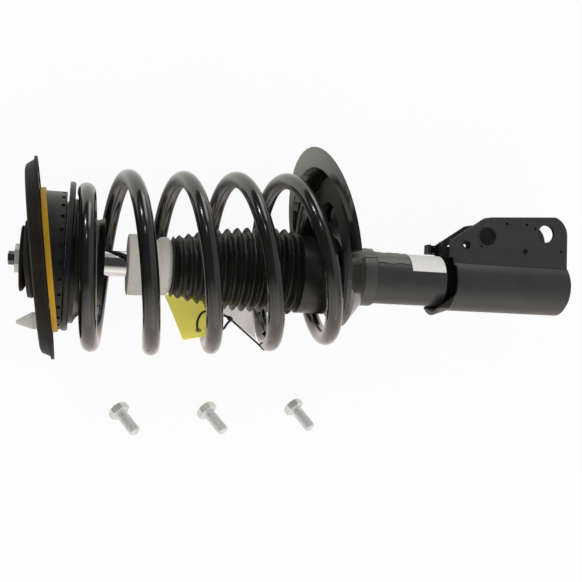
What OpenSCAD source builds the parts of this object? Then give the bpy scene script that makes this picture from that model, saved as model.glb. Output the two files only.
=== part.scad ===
// Front suspension strut assembly: damper, coil spring, tower mount and knuckle bracket.
// The damper's axis is the X axis. X runs from the tower mount to the knuckle bracket, the
// bracket's ears point along +Y, and the origin is where the damper's axis meets the outer
// face of the mount plate. The assembly lies on its side, as on a bench, with Z up.
// Lengths are in millimetres and angles in degrees.

/* [Damper] */
// Diameter of the piston rod
rod_d = 22; // [20:0.5:25]
// Outside diameter of the reservoir tube
tube_d = 47; // [45:0.5:51]
// Wall of the reservoir tube
tube_wall = 2.5; // [2:0.1:3]
// Where the reservoir tube starts
tube_start = 243; // [238:1:246]
// Where the reservoir tube ends
tube_end = 493.4; // [488:0.2:510]
// Stroke from full droop to the bump stop
travel = 105; // [80:1:108]
// Radial running clearance of the rod and the piston
running_gap = 0.03; // [0.02:0.01:0.06]
// Outside diameter of the pressure tube
pressure_tube_d = 33; // [32:0.5:35]
// Wall of the pressure tube
pressure_tube_wall = 1.8; // [1.2:0.1:2]
// Length of the rod guide
guide_h = 16; // [12:1:20]
// Length of the rod seal
seal_h = 6; // [4:0.5:8]
// Length of the piston
piston_h = 18; // [14:1:22]
// Length of the rebound stop
rebound_h = 10; // [6:1:14]
// Length of the base valve
valve_h = 14; // [10:1:18]

/* [Rod end] */
// Diameter of the rod's threaded end
stud_d = 14; // [12:0.5:16]
// How far the threaded end stands out of the mount plate's face
stud_reach = 20.2; // [18:0.2:26]
// Height of the hexagon that holds the rod still while the nut is turned
rod_key_h = 5; // [3:0.2:6]
// Width across the flats of that hexagon
rod_key_af = 10; // [8:0.5:11]
// Width across the flats of the top nut
nut_af = 21; // [19:0.5:24]
// Height of the top nut
nut_h = 11.6; // [10:0.2:13]

/* [Tower mount] */
// Lean of the mount plate from square to the damper
mount_tilt = 7.4; // [4:0.2:9]
// Diameter of the circle of the three mounting bolts
stud_circle_d = 130; // [126:1:134]
// Width of the mount plate's flat face beyond the circle of the bolts
plate_land = 11.5; // [10:0.5:14]
// Width of the mount plate's sloping rim
plate_rim_w = 9.5; // [8:0.5:12]
// Depth of the mount plate from face to rim
plate_depth = 8.2; // [6.5:0.2:9]
// Thickness of the mount plate's sheet
plate_t = 3; // [2.5:0.1:3.5]
// Thread diameter of the mounting bolts
bolt_d = 10; // [8:0.5:12]
// Radius of the hole for the rubber bush
hub_hole_r = 26; // [24:0.5:28]
// Radius of the rubber bush inside its cup
bush_r = 33; // [31:0.5:34]
// Distance of the locating pin from the plate's rim
pin_inset = 34; // [32:0.5:38]
// Length of the locating pin
pin_h = 18; // [14:0.5:22]
// Radius of the locating pin at its base
pin_r = 7.2; // [5:0.2:7.4]

/* [Strut bearing] */
// Radius of the bearing housing
housing_r = 58.5; // [57:0.5:60]
// How far the bearing plate stands out past the housing
bearing_plate_reach = 3; // [2.6:0.1:4]
// Thickness of the bearing plate's sheet
bearing_plate_t = 2.5; // [2:0.1:3]
// Distance from the mount plate's face to the bearing plate
bearing_plate_x = 11; // [10.8:0.1:11.5]
// Where the plane of the bearing balls lies
bearing_x = 27.2; // [27:0.1:28.5]
// Pitch radius of the bearing balls
ball_circle_r = 47; // [45:0.5:48]
// Diameter of a bearing ball
ball_d = 5.5; // [4.5:0.1:6]
// Number of bearing balls
ball_count = 28; // [20:1:32]

/* [Upper spring seat] */
// Radius of the upper seat's flange
seat_flange_r = 62.5; // [61:0.5:65]
// Lean of the upper seat's flange
seat_flange_tilt = 0.8; // [0:0.1:1.5]
// How far the upper seat's flange stands off the damper's axis
seat_flange_offset = 4; // [0:0.5:5]
// Where the upper seat's cup ends
cup_end = 58; // [55:1:62]
// Radius of the upper seat's cup at its waist
cup_r = 34; // [32:0.5:38]
// Wall of the upper seat
cup_wall = 2.5; // [2:0.1:3]

/* [Bump stop and bellows] */
// Diameter of the bump stop
bumper_d = 53; // [48:1:56]
// Where the bump stop starts on the rod
bumper_start = 78.4; // [72:0.2:84]
// Radius of the bellows at its first fold
bellows_r1 = 27; // [26.5:0.5:30]
// Radius of the bellows at its widest fold
bellows_r2 = 38; // [36:0.5:42]
// Depth of a fold
fold_depth = 6.5; // [4:0.5:7]
// Number of folds
fold_count = 13; // [9:1:15]
// Wall of the bellows
bellows_wall = 1.6; // [1.2:0.1:2]
// Radius of the bellows' plain lower end
cuff_r = 35.5; // [34:0.5:37]

/* [Coil spring] */
// Wire diameter of the spring
wire_d = 14.6; // [12:0.1:15]
// Mean radius of the middle coils
coil_r = 73.3; // [70:0.1:76]
// Number of turns from end to end
turns = 4.9; // [4.7:0.05:5]
// Rise of one free turn
free_pitch = 49.6; // [46:0.2:50]
// Rise per turn of the two closed ends
end_pitch = 7; // [6:0.5:9]
// How much the first turn is drawn in
top_tuck = 13.8; // [8:0.2:15]
// How much the last turn is drawn in
bottom_tuck = 4.2; // [2:0.2:8]
// How far the lower end of the spring stands off the damper's axis
coil_offset = 15.2; // [10:0.2:16]
// Lean of the spring's lower end
coil_tilt = 11.6; // [6:0.2:12]
// Twist of the coils towards the bench side
coil_twist = 2.6; // [0:0.2:4]

/* [Lower spring seat] */
// Radius of the lower seat's rim
rim_r = 86; // [84:0.5:90]
// How far the rim stands off the damper's axis
rim_offset = 31; // [27:0.5:34]
// Lean of the rim
rim_tilt = 12; // [9:0.5:13]
// Twist of the rim towards the bench side
rim_twist = 5; // [3:0.5:6]
// Thickness of the lower seat's sheet
pan_t = 3; // [2.5:0.1:3.5]
// Thickness of the rubber pad under the spring
pad_t = 3; // [2:0.2:4]
// Length of the welded sleeve below the lower seat
sleeve_h = 12; // [8:1:16]

/* [Knuckle bracket] */
// Thickness of the bracket's sheet
bracket_t = 3.4; // [3:0.1:4]
// Where the plain part of the bracket's wrap starts
wrap_start = 376; // [375:0.5:380]
// Where the bracket's ears start
ear_start = 374.5; // [373:0.5:376]
// Where the bracket ends
bracket_end = 490.4; // [489:0.2:492]
// Half the width over the ears
ear_half_w = 20.4; // [19.4:0.1:21.4]
// Height of the ears at their far corner
ear_h = 66.7; // [64:0.1:70]
// Corner radius of the ears
ear_corner_r = 18; // [12:0.5:20]
// How much lower the ear on the bench side is
far_ear_drop = 3; // [0:0.5:4]
// How much sooner the ear on the bench side ends
far_ear_trim = 2.5; // [0:0.5:4]
// Radius of the two knuckle bolt holes
knuckle_hole_r = 8.5; // [7:0.1:9]
// Distance between the knuckle bolt holes
knuckle_spacing = 60.8; // [56:0.1:62]
// Where the upper knuckle bolt hole lies along the damper
knuckle_x = 407.6; // [405:0.1:410]
// Height of the upper knuckle bolt hole above the damper's axis
knuckle_y = 43.1; // [41:0.1:45]
// Lean of the line through the knuckle bolt holes
knuckle_lean = 5.9; // [3:0.1:7]

/* [Mounting bolts] */
// Length of a bolt's shank
bolt_len = 25; // [20:1:35]
// Width across the flats of a bolt's head
bolt_af = 17; // [16:0.5:18]
// Height of a bolt's head
bolt_head_h = 6.4; // [6:0.1:8]
// Lean of a bolt whose shank is raised off the bench
bolt_lean = 32; // [10:1:40]

/* [Hidden] */
$fn = 72;

// Colours.
black_steel = [0.11, 0.11, 0.11];
black_rubber = [0.06, 0.06, 0.06];
bare_steel = [0.62, 0.62, 0.62];
zinc = [0.76, 0.76, 0.74];
gold_zinc = [0.78, 0.62, 0.22];
cream = [0.88, 0.86, 0.78];

// Shared clearances.
gap = 0.4;            // between pieces that move past each other
cut = 1;              // how far a cutter stands past what it cuts
bumper_gap = 1;       // left between the bump stop and the damper at full stroke

// Damper.
rod_r = rod_d / 2;
tube_r = tube_d / 2;
tube_bore_r = tube_r - tube_wall;
pressure_r = pressure_tube_d / 2;
cylinder_r = pressure_r - pressure_tube_wall;
top_cap_t = 2;
top_cap_x = tube_start - top_cap_t;
top_cap_h = 12;
tube_lip_t = 2.5;
seal_x = tube_start + tube_lip_t;
guide_x = seal_x + seal_h;
guide_end = guide_x + guide_h;
bush_wall = 1.5;
pressure_seat = 6;
rebound_x = guide_end + gap;
piston_x = rebound_x + rebound_h;
piston_end = piston_x + piston_h;
piston_land = 4;
spigot_r = 6;
piston_nut_h = 9;
piston_nut_af = 19;
rod_tail = 3;
rod_end = piston_end + piston_nut_h + rod_tail;
base_cap_t = 3;
base_cap_depth = 9;
valve_end = tube_end - base_cap_depth;
valve_x = valve_end - valve_h;
valve_disc_t = 4;

// Rod end and tower mount.
stud_r = stud_d / 2;
stud_x = rod_key_h - stud_reach;
washer_t = 3;
washer_floor_r = 14;
washer_r = 27;
washer_rise = 7;
sleeve_len = 20;
sleeve_r = rod_r;
shoulder_x = sleeve_len + washer_t;
weld_nut_h = 7;
weld_nut_af = 15;
bolt_clear = 0.3;
bolt_hole_r = bolt_d / 2 + bolt_clear;
weld_bore_r = bolt_d / 2;
pin_tip_r = 1.6;
pin_collar_w = 1.6;
pin_collar_r = pin_r + pin_collar_w;
pin_shoulder = 2.2;
pin_shank_r = pin_r - pin_shoulder;
pin_collar_h = 1.6;
pin_land = 3;
stud_circle_r = stud_circle_d / 2;
plate_face_r = stud_circle_r + plate_land;
plate_rim_r = plate_face_r + plate_rim_w;
pin_offset = plate_rim_r - pin_inset;
bolt_angles = [0, 120, 240];
bush_cup_t = 3;
bush_lip = 5;
bush_flange_w = 7;
bush_flange_r = hub_hole_r + bush_flange_w;
bush_end = 8;

// Bearing.
ball_r = ball_d / 2;
race_h = 2.9;
race_gap = 3;
race_half_w = 4;
groove_r = ball_r + gap;
upper_race_x = bearing_x - race_gap / 2 - race_h;
lower_race_x = bearing_x + race_gap / 2;
cage_h = 2;
cage_half_w = 3.6;
housing_end = bearing_x - race_gap / 2;
race_shelf = 3;
housing_bore_r = ball_circle_r - race_half_w - race_shelf;
bearing_plate_r = housing_r + bearing_plate_reach;
plate_flange_gap = 0.3;
plate_flange_h = 2;
window_count = 28;
window_w = 3.6;
window_h = 2.8;
window_depth = 2;
window_inset = 2.6;
window_x = housing_end - window_inset;

// Upper spring seat and its pad.
seat_x = lower_race_x;
race_floor_t = 3;
race_wall = 2;
seat_ring_end = seat_x + race_h + race_floor_t;
seat_ring_r = ball_circle_r + race_half_w + race_wall;
seat_flange_t = 2.4;
seat_flange_x = housing_end + gap + housing_r * tan(seat_flange_tilt);
upper_pad_t = 2.4;
upper_pad_lip = 1;
cup_waist_x = (seat_ring_end + cup_end) / 2;
spring_start = 41;
pad_inner_r = seat_ring_r + gap;
pad_clear = 0.4;

// Bump stop and bellows.
bumper_r = bumper_d / 2;
bumper_end = top_cap_x - travel - bumper_gap;
bumper_head = 24;
bumper_skirt = 13.6;
groove_x = bumper_start + bumper_head;
groove_depth = 4.5;
neck_x = groove_x + bumper_skirt;
neck_h = 5;
neck_lip = 1.6;
neck_r = 18;
bumper_tail_r = 17;
bellows_x = neck_x + gap;
bellows_neck_h = 2;
fold_start = bellows_x + bellows_neck_h;
cuff_start = 227;
bellows_end = 264;
bellows_foot_h = 4;
widest_fold = 0.7;
fold_share = 0.75;
fold_pitch = (cuff_start - fold_start) / fold_count;

// Coil spring: the wire's middle line at turn t is a helix whose rise slows down at both ends,
// whose end turns are drawn in, and which leans and shifts over towards its lower end.
wire_r = wire_d / 2;
top_dead = 0.37;
bottom_dead = 0.66;
bottom_rate = 5.9;
tuck_turns = 1.9;
pitch_blend = 0.05;
lean_growth = 1.6;
coil_steps = 24;
wire_sides = 8;
spring_points = round(turns * coil_steps);

function lean_share(t) = pow(max(0, t) / turns, lean_growth);
function soft_ramp(t) = pitch_blend * ln(1 + exp(t / pitch_blend));
function rise(t) = end_pitch * t + (free_pitch - end_pitch) * soft_ramp(t - top_dead)
    - (free_pitch - end_pitch * bottom_rate) * soft_ramp(t - turns + bottom_dead);
function tuck(t) = top_tuck * pow(max(0, 1 - t), 2)
    + bottom_tuck * pow(max(0, t - turns + tuck_turns) / tuck_turns, 2);
function wire_at(t) =
    let(a = 360 * t, r = coil_r - tuck(t), lean = coil_tilt * lean_share(t))
    [spring_start + rise(t) - sin(lean) * r * cos(a) + sin(coil_twist) * min(1, t) * r * sin(a),
     coil_offset * lean_share(t) + cos(lean) * r * cos(a),
     r * sin(a)];
function unit(v) = v / norm(v);
function wire_ring(i) =
    let(t = turns * i / spring_points,
        c = wire_at(t),
        along = unit(wire_at(t + 0.002) - wire_at(t - 0.002)),
        side = unit(cross(along, [0, cos(360 * t), sin(360 * t)])),
        out = cross(side, along))
    [for (k = [0:wire_sides - 1])
        c + wire_r * (cos(360 * k / wire_sides) * out + sin(360 * k / wire_sides) * side)];

coil_line = [for (i = [0:spring_points]) wire_at(turns * i / spring_points)];
coil_gap = min([for (i = [0:spring_points]) for (j = [i + coil_steps / 2:spring_points])
    norm(coil_line[i] - coil_line[j])]) - wire_d;
echo(str("Least gap between the spring's turns: ", coil_gap, " mm"));

// Lower spring seat: the wire's end rests on a floor that leans with it.
floor_tilt = 5.1;
floor_twist = 4;
floor_offset = coil_offset;
floor_normal = [cos(floor_twist) * cos(floor_tilt), sin(floor_tilt), sin(floor_twist) * cos(floor_tilt)];
floor_contact = turns - 0.42;
floor_x = ((wire_at(floor_contact) - [0, floor_offset, 0]) * floor_normal + wire_r + pad_t
    + pad_clear) / floor_normal[0];
floor_margin = 3.2;
floor_r = coil_r - bottom_tuck + wire_r + floor_margin;
bowl_r = 60;
bowl_bore_r = 52;
bowl_end = 287;
bowl_knee = 14;
bowl_brow = 1;
bowl_foot_w = 5;
bowl_foot_r = tube_r + bowl_foot_w;
step_in = 2.5;
step_rise = 10;
rim_rise = 9.6;
step_r = (rim_r + floor_r) / 2 - step_in;
step_offset = 21;
step_x = floor_x - step_rise;
step_tilt = 9;
rim_x = floor_x - rim_rise;
lobe_edge_y = 15;
skin = 0.02;
pad_inset = 3;
sleeve_wall = 2.6;
sleeve_r_out = tube_r + sleeve_wall;

// Knuckle bracket.
wrap_r = tube_r + bracket_t;
ear_inner = ear_half_w - bracket_t;
ear_root_y = sqrt(tube_r * tube_r - ear_inner * ear_inner);
knuckle_dx = knuckle_spacing * cos(knuckle_lean);
knuckle_dy = knuckle_spacing * sin(knuckle_lean);
ear_shoulder = [29.7, 60];
ear_crown = [36, 61.3];
ear_step_y = 39.6;
ear_foot_y = 14;
flare_reach = 14;
flare_rise = 5;
flare_arc = 250;
flare_root = 2;
flare_ledge = 0.5;
flare_lead = 2;
flare_top_y = -14;
flare_slant = 50;
return_flange_w = 9;
return_flange_y = 22;
small_holes = [[446.5, 31, 2.7], [386.6, 34, 3.9], [427.3, 56.3, 1.2], [447.8, 56.8, 1.2],
    [456.6, 53.3, 1.2], [401.8, 33.5, 1.2], [484, 33.3, 1.2]];
hose_tab_reach = 12;
hose_tab_y = 27.5;
hose_tab_h = 9;
hose_hole_r = 3.2;
hose_hole_gap = 1;
hose_tab_root = 16;
hose_hole_x = ear_start - hose_tab_reach + bracket_t + hose_hole_r + hose_hole_gap;

// Mounting bolts, on the bench beside the strut.
bench_z = -rim_r;
bolt_tip_h = 1;
bolt_spots = [[83, -133.2, -50], [165.8, -131.1, -51], [251.9, -126.3, -53]];

// Turns a profile, drawn as radius and distance along the damper, about the damper's axis.
module turned(arc = 360, start = 0) {
    along_damper() rotate([0, 0, start]) rotate_extrude(angle = arc) children();
}

// Stands what is drawn in X, Y and Z up in Y, Z and X, so that Z runs along the damper.
module along_damper() {
    rotate([90, 0, 90]) children();
}

// A plain ring round the damper's axis.
module ring(x, length, r_in, r_out) {
    turned() translate([r_in, x]) square([r_out - r_in, length]);
}

// A solid round bar on the damper's axis.
module bar(x, length, r) {
    along_damper() translate([0, 0, x]) cylinder(r = r, h = length);
}

// A hexagon on the damper's axis.
module hex_bar(x, length, af) {
    along_damper() translate([0, 0, x]) cylinder(d = af / cos(30), h = length, $fn = 6);
}

// Leans its children with the mount plate.
module on_mount() {
    rotate([0, 0, mount_tilt]) children();
}

// Places a child at each of the three mounting bolts.
module at_mount_bolts() {
    for (a = bolt_angles)
        on_mount() rotate([a, 0, 0]) translate([0, stud_circle_r, 0]) children();
}

// A thin disc, square to the damper and then leaned, for the faces that a lofted shell joins.
module leaning_disc(x, y, tilt, twist, r) {
    translate([x, y, 0]) rotate([0, twist, 0]) rotate([0, 0, tilt])
        along_damper() cylinder(r = r, h = skin, $fn = 48);
}

// --- Damper ---

module reservoir_tube() {
    color(black_steel) turned() polygon([
        [rod_r + 3, tube_start], [tube_r, tube_start], [tube_r, tube_end],
        [tube_bore_r, tube_end], [tube_bore_r, seal_x], [rod_r + 3, seal_x]]);
}

module tube_top_cap() {
    color(black_steel) turned() polygon([
        [rod_r + 1, top_cap_x], [tube_r, top_cap_x], [tube_r + top_cap_t, top_cap_x + top_cap_t],
        [tube_r + top_cap_t, top_cap_x + top_cap_h], [tube_r, top_cap_x + top_cap_h],
        [tube_r, tube_start], [rod_r + 1, tube_start]]);
}

module base_cap() {
    color(black_steel) turned() polygon([
        [0, valve_end], [tube_bore_r - 3, valve_end], [tube_bore_r, valve_end + 2],
        [tube_bore_r, tube_end - 0.5], [tube_bore_r - base_cap_t, tube_end - 0.5],
        [tube_bore_r - base_cap_t, valve_end + base_cap_t + 2],
        [tube_bore_r - base_cap_t - 4, valve_end + base_cap_t], [0, valve_end + base_cap_t]]);
}

module pressure_tube() {
    color(bare_steel) ring(guide_end - pressure_seat,
        valve_x + valve_disc_t - guide_end + pressure_seat, cylinder_r, pressure_r);
}

module base_valve() {
    color(bare_steel) difference() {
        union() {
            bar(valve_x, valve_disc_t, cylinder_r);
            bar(valve_x + valve_disc_t, valve_h - valve_disc_t, tube_bore_r);
        }
        for (a = [0:90:270])
            rotate([a, 0, 0]) translate([0, cylinder_r / 2, 0]) bar(valve_x - cut, valve_h - 3, 1.6);
        for (a = [45:90:315])
            rotate([a, 0, 0]) translate([0, tube_bore_r, 0]) bar(valve_x + 6, valve_h, 3);
    }
}

module rod_guide() {
    color(bare_steel) turned() polygon([
        [rod_r + running_gap + bush_wall, guide_x], [tube_bore_r, guide_x],
        [tube_bore_r, guide_end - pressure_seat], [cylinder_r, guide_end - pressure_seat],
        [cylinder_r, guide_end], [rod_r + running_gap + bush_wall, guide_end]]);
}

module guide_bush() {
    color("slategray") ring(guide_x + 0.5, guide_h - 1, rod_r + running_gap,
        rod_r + running_gap + bush_wall);
}

module rod_seal() {
    color(black_rubber) turned() polygon([
        [rod_r + running_gap, seal_x + 2], [rod_r + 2, seal_x], [tube_bore_r, seal_x],
        [tube_bore_r, guide_x], [rod_r + 2, guide_x], [rod_r + running_gap, seal_x + 3.5]]);
}

// --- Lower spring seat ---

// The shell's two lofts: a broad lip that leans with the rim, and a wall down to the floor.
module pan_solid(inset) {
    hull() {
        leaning_disc(rim_x - inset, rim_offset, rim_tilt, rim_twist, rim_r - inset * 0.4);
        leaning_disc(step_x - inset, step_offset, step_tilt, rim_twist / 2, step_r - inset);
    }
    hull() {
        leaning_disc(step_x - inset, step_offset, step_tilt, rim_twist / 2, step_r - inset);
        leaning_disc(floor_x - inset + pan_t, floor_offset, floor_tilt, -floor_twist,
            floor_r - inset);
    }
}

// The bowl that carries the floor on the reservoir tube. Its brow is straight, so that the
// wall keeps its thickness on the side where the bowl stands far off the tube.
module bowl_solid(inset) {
    hull() {
        leaning_disc(floor_x + (inset > 0 ? pan_t : 0), floor_offset, floor_tilt, -floor_twist,
            bowl_r - inset);
        leaning_disc(floor_x + pan_t + bowl_brow, floor_offset, floor_tilt, -floor_twist,
            bowl_r - inset);
        bar(bowl_end - inset - bowl_knee, skin, bowl_r - bowl_knee - inset);
        bar(bowl_end - inset - skin, skin, bowl_foot_r - inset / 2);
    }
}

module lower_spring_seat() {
    color(black_steel) difference() {
        union() {
            intersection() {
                difference() {
                    pan_solid(0);
                    pan_solid(pan_t);
                }
                translate([0, lobe_edge_y, -2 * rim_r]) cube([2 * tube_end, 2 * rim_r, 4 * rim_r]);
            }
            bowl_solid(0);
        }
        bowl_solid(pan_t);
        translate([floor_x, floor_offset, 0]) rotate([0, -floor_twist, 0])
            rotate([0, 0, floor_tilt]) bar(-pan_t * 3, pan_t * 4 + skin, bowl_bore_r);
        bar(tube_start, tube_end - tube_start, tube_r);
    }
}

module seat_sleeve() {
    color(black_steel) ring(bowl_end, sleeve_h, tube_r, sleeve_r_out);
}

module lower_spring_pad() {
    color(black_rubber) translate([floor_x, floor_offset, 0])
        rotate([0, -floor_twist, 0]) rotate([0, 0, floor_tilt]) difference() {
                union() {
                    bar(-pad_t, pad_t, bowl_r);
                    intersection() {
                        bar(-pad_t, pad_t, floor_r - pan_t - pad_inset);
                        translate([-pad_t - cut, lobe_edge_y - floor_offset, -2 * rim_r])
                            cube([pad_t + 2 * cut, 2 * rim_r, 4 * rim_r]);
                    }
                }
                bar(-pad_t - cut, pad_t + 2 * cut, bowl_bore_r);
            }
}

// --- Knuckle bracket ---

// Section of the wrap and the ears, square to the damper.
module bracket_section() {
    difference() {
        union() {
            intersection() {
                circle(r = wrap_r);
                translate([-2 * wrap_r, -wrap_r - cut])
                    square([2 * wrap_r + ear_root_y, 2 * wrap_r + 2 * cut]);
            }
            for (side = [-1, 1])
                translate([0, side > 0 ? ear_inner : -ear_half_w])
                    square([ear_h + cut, bracket_t]);
        }
        circle(r = tube_r);
    }
}

// Outline of an ear, seen from the side.
module ear_outline() {
    difference() {
        polygon([[ear_start, ear_foot_y], [ear_start, ear_step_y],
            [ear_start + ear_shoulder[0], ear_shoulder[1]],
            [ear_start + ear_crown[0], ear_crown[1]], [bracket_end, ear_h], [bracket_end, 0],
            [wrap_start, 0], [wrap_start, ear_foot_y]]);
        translate([bracket_end - ear_corner_r, ear_h - ear_corner_r]) difference() {
            square(ear_corner_r + cut);
            circle(r = ear_corner_r);
        }
    }
}

module knuckle_bracket() {
    color(black_steel) difference() {
        union() {
            intersection() {
                along_damper() translate([0, 0, ear_start - far_ear_trim])
                    linear_extrude(bracket_end - ear_start + far_ear_trim) bracket_section();
                union() {
                    linear_extrude(2 * wrap_r) ear_outline();
                    translate([-far_ear_trim, -far_ear_drop, -2 * wrap_r])
                        linear_extrude(2 * wrap_r) ear_outline();
                    bar(wrap_start, bracket_end - wrap_start, wrap_r + cut);
                }
            }
            intersection() {
                turned(arc = flare_arc, start = (360 - flare_arc) / 2) polygon([
                    [tube_r + flare_ledge, wrap_start + flare_root],
                    [tube_r + flare_rise, wrap_start - flare_reach],
                    [wrap_r + flare_rise, wrap_start - flare_reach],
                    [wrap_r - flare_ledge, wrap_start + flare_root]]);
                translate([wrap_start - flare_lead, flare_top_y, 0]) rotate([0, 0, -flare_slant])
                    translate([0, -2 * wrap_r, -2 * wrap_r]) cube([tube_r, 4 * wrap_r, 4 * wrap_r]);
            }
            for (side = [-1, 1])
                translate([ear_start, return_flange_y,
                    side > 0 ? ear_inner - return_flange_w : -ear_inner])
                    cube([bracket_t, ear_step_y - return_flange_y, return_flange_w]);
        }
        for (i = [0, 1])
            translate([knuckle_x + i * knuckle_dx, knuckle_y + i * knuckle_dy, -wrap_r])
                cylinder(r = knuckle_hole_r, h = 2 * wrap_r);
        for (h = small_holes)
            translate([h[0], h[1], -wrap_r]) cylinder(r = h[2], h = 2 * wrap_r);
    }
}

module hose_bracket() {
    color(black_steel) difference() {
        union() {
            translate([ear_start - hose_tab_reach, hose_tab_y, -ear_half_w - bracket_t])
                cube([hose_tab_reach + hose_tab_root, hose_tab_h, bracket_t]);
            translate([ear_start - hose_tab_reach, hose_tab_y, -ear_half_w])
                cube([bracket_t, hose_tab_h, 6]);
        }
        translate([hose_hole_x, hose_tab_y + hose_tab_h / 2, -2 * wrap_r])
            cylinder(r = hose_hole_r, h = 2 * wrap_r);
    }
}

// --- Spring and bellows ---

module coil_spring() {
    n = wire_sides;
    last = spring_points * n;
    color([0.16, 0.16, 0.16]) polyhedron(
        points = [for (i = [0:spring_points]) each wire_ring(i)],
        faces = concat(
            [for (k = [1:n - 2]) [0, k, k + 1]],
            [for (k = [1:n - 2]) [last, last + k + 1, last + k]],
            [for (i = [0:spring_points - 1]) for (k = [0:n - 1]) each
                let(a = i * n + k, b = i * n + (k + 1) % n) [[a, a + n, b], [b, a + n, b + n]]]));
}

// Radius of the bellows' crests, widest part of the way down.
function crest_r(x) =
    let(s = min(1, (x - fold_start) / (widest_fold * (cuff_start - fold_start))))
    bellows_r1 + (bellows_r2 - bellows_r1) * sin(90 * s);
// One side of the folded wall, from the neck to the cuff.
function fold_line(inset) =
    [for (i = [0:fold_count - 1]) for (p = [[0.15, 1], [0.4, 0], [0.6, 0], [0.85, 1]])
        let(x = fold_start + (i + p[0]) * fold_pitch)
        [crest_r(x) - p[1] * fold_depth * fold_share - inset, x]];

module bellows() {
    outer = concat([[bellows_r1, bellows_x], [bellows_r1, fold_start - 1]], fold_line(0),
        [[cuff_r, cuff_start], [cuff_r, bellows_end]]);
    inner = concat([[neck_r + gap, bellows_x], [neck_r + gap, fold_start - 1]],
        fold_line(bellows_wall), [[cuff_r - bellows_wall, cuff_start],
        [cuff_r - bellows_wall, bellows_end - bellows_foot_h], [tube_r, bellows_end - bellows_foot_h],
        [tube_r, bellows_end]]);
    color(black_rubber) turned() polygon(concat(outer,
        [for (i = [len(inner) - 1:-1:0]) inner[i]]));
}

// --- Rod, piston and bump stop ---

module piston_rod() {
    color(bare_steel) hex_bar(-stud_reach, rod_key_h + cut, rod_key_af);
    color(bare_steel) turned() polygon([
        [0, stud_x], [stud_r - 1, stud_x], [stud_r, stud_x + 1], [stud_r, shoulder_x],
        [rod_r, shoulder_x], [rod_r, piston_x], [spigot_r, piston_x], [spigot_r, rod_end],
        [0, rod_end]]);
}

module piston() {
    color(bare_steel) difference() {
        turned() polygon([
            [spigot_r, piston_x], [cylinder_r - 1, piston_x],
            [cylinder_r - 1, piston_x + piston_land], [cylinder_r - 2, piston_x + piston_land],
            [cylinder_r - 2, piston_end - piston_land], [cylinder_r - 1, piston_end - piston_land],
            [cylinder_r - 1, piston_end], [spigot_r, piston_end]]);
        for (a = [0:60:300])
            rotate([a, 0, 0]) translate([0, (spigot_r + cylinder_r) / 2, 0])
                bar(piston_x - cut, piston_h + 2 * cut, 1.3);
    }
}

module piston_band() {
    color("dimgray") ring(piston_x + piston_land, piston_h - 2 * piston_land,
        cylinder_r - 2, cylinder_r - running_gap);
}

module piston_nut() {
    color(bare_steel) difference() {
        hex_bar(piston_end, piston_nut_h, piston_nut_af);
        bar(piston_end - cut, piston_nut_h + 2 * cut, spigot_r);
    }
}

module rebound_stop() {
    color(black_rubber) ring(rebound_x, rebound_h - 0.2, rod_r, cylinder_r - 1.5);
}

module bump_stop() {
    color(cream) turned() polygon([
        [rod_r, bumper_start], [bumper_r - 2, bumper_start], [bumper_r, bumper_start + 2],
        [bumper_r, groove_x - 3], [bumper_r - groove_depth, groove_x],
        [bumper_r - 1, groove_x + 4], [bumper_r - 1, neck_x - 4], [bumper_r - 5, neck_x],
        [neck_r, neck_x], [neck_r, neck_x + neck_h], [neck_r + neck_lip, neck_x + neck_h],
        [neck_r + neck_lip, neck_x + neck_h + 1.5], [bumper_tail_r, neck_x + neck_h + 3],
        [bumper_tail_r, bumper_end - 6],
        [bumper_tail_r - 4, bumper_end], [rod_r, bumper_end]]);
}

// --- Tower mount ---

module jounce_washer() {
    color(bare_steel) ring(sleeve_len, washer_t, stud_r, washer_r);
}

module bush_sleeve() {
    color(bare_steel) ring(0, sleeve_len, stud_r, sleeve_r);
}

// What lies outside the inner faces of the two washers.
module washer_space() {
    turned() polygon([[0, -plate_rim_r], [plate_rim_r, -plate_rim_r], [plate_rim_r, -washer_rise],
        [washer_r, -washer_rise], [washer_floor_r, 0], [0, 0]]);
    bar(sleeve_len, plate_rim_r, plate_rim_r);
}

module rubber_bush() {
    color(black_rubber) difference() {
        on_mount() turned() polygon([
            [0, -washer_rise], [bush_flange_r - 1, -washer_rise],
            [bush_flange_r, -washer_rise / 2], [bush_flange_r - 1, 0], [hub_hole_r, 0],
            [hub_hole_r, plate_t], [bush_r, plate_t], [bush_r, bearing_plate_x + bearing_plate_t],
            [bush_r - bush_lip, sleeve_len + bush_end], [0, sleeve_len + bush_end]]);
        washer_space();
        bar(-plate_rim_r, 2 * plate_rim_r, sleeve_r);
    }
}

module rebound_washer() {
    color(black_steel) turned() polygon([
        [stud_r, -washer_t], [washer_floor_r, -washer_t], [washer_r, -washer_rise - washer_t],
        [washer_r + 1, -washer_rise - washer_t + 1], [washer_r, -washer_rise],
        [washer_floor_r, 0], [stud_r, 0]]);
}

module top_nut() {
    color(zinc) difference() {
        union() {
            hex_bar(-washer_t - nut_h, nut_h - 2, nut_af);
            bar(-washer_t - 2, 2, washer_floor_r - 1.5);
        }
        bar(-plate_rim_r, 2 * plate_rim_r, stud_r);
    }
}

module mount_plate() {
    color(black_steel) difference() {
        on_mount() turned() polygon([
            [hub_hole_r, 0], [plate_face_r, 0], [plate_face_r + 3, 1.2],
            [plate_rim_r - 2.5, plate_depth], [plate_rim_r, plate_depth],
            [plate_rim_r, plate_depth + 2.5], [plate_rim_r - 4.5, plate_depth + 2.5],
            [plate_face_r + 0.5, plate_t + 1], [plate_face_r - 2, plate_t],
            [hub_hole_r, plate_t]]);
        at_mount_bolts() bar(-cut, plate_t + 2 * cut, bolt_hole_r);
        on_mount() translate([0, -pin_offset, 0]) bar(-cut, plate_t + 2 * cut, pin_shank_r);
    }
}

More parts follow.
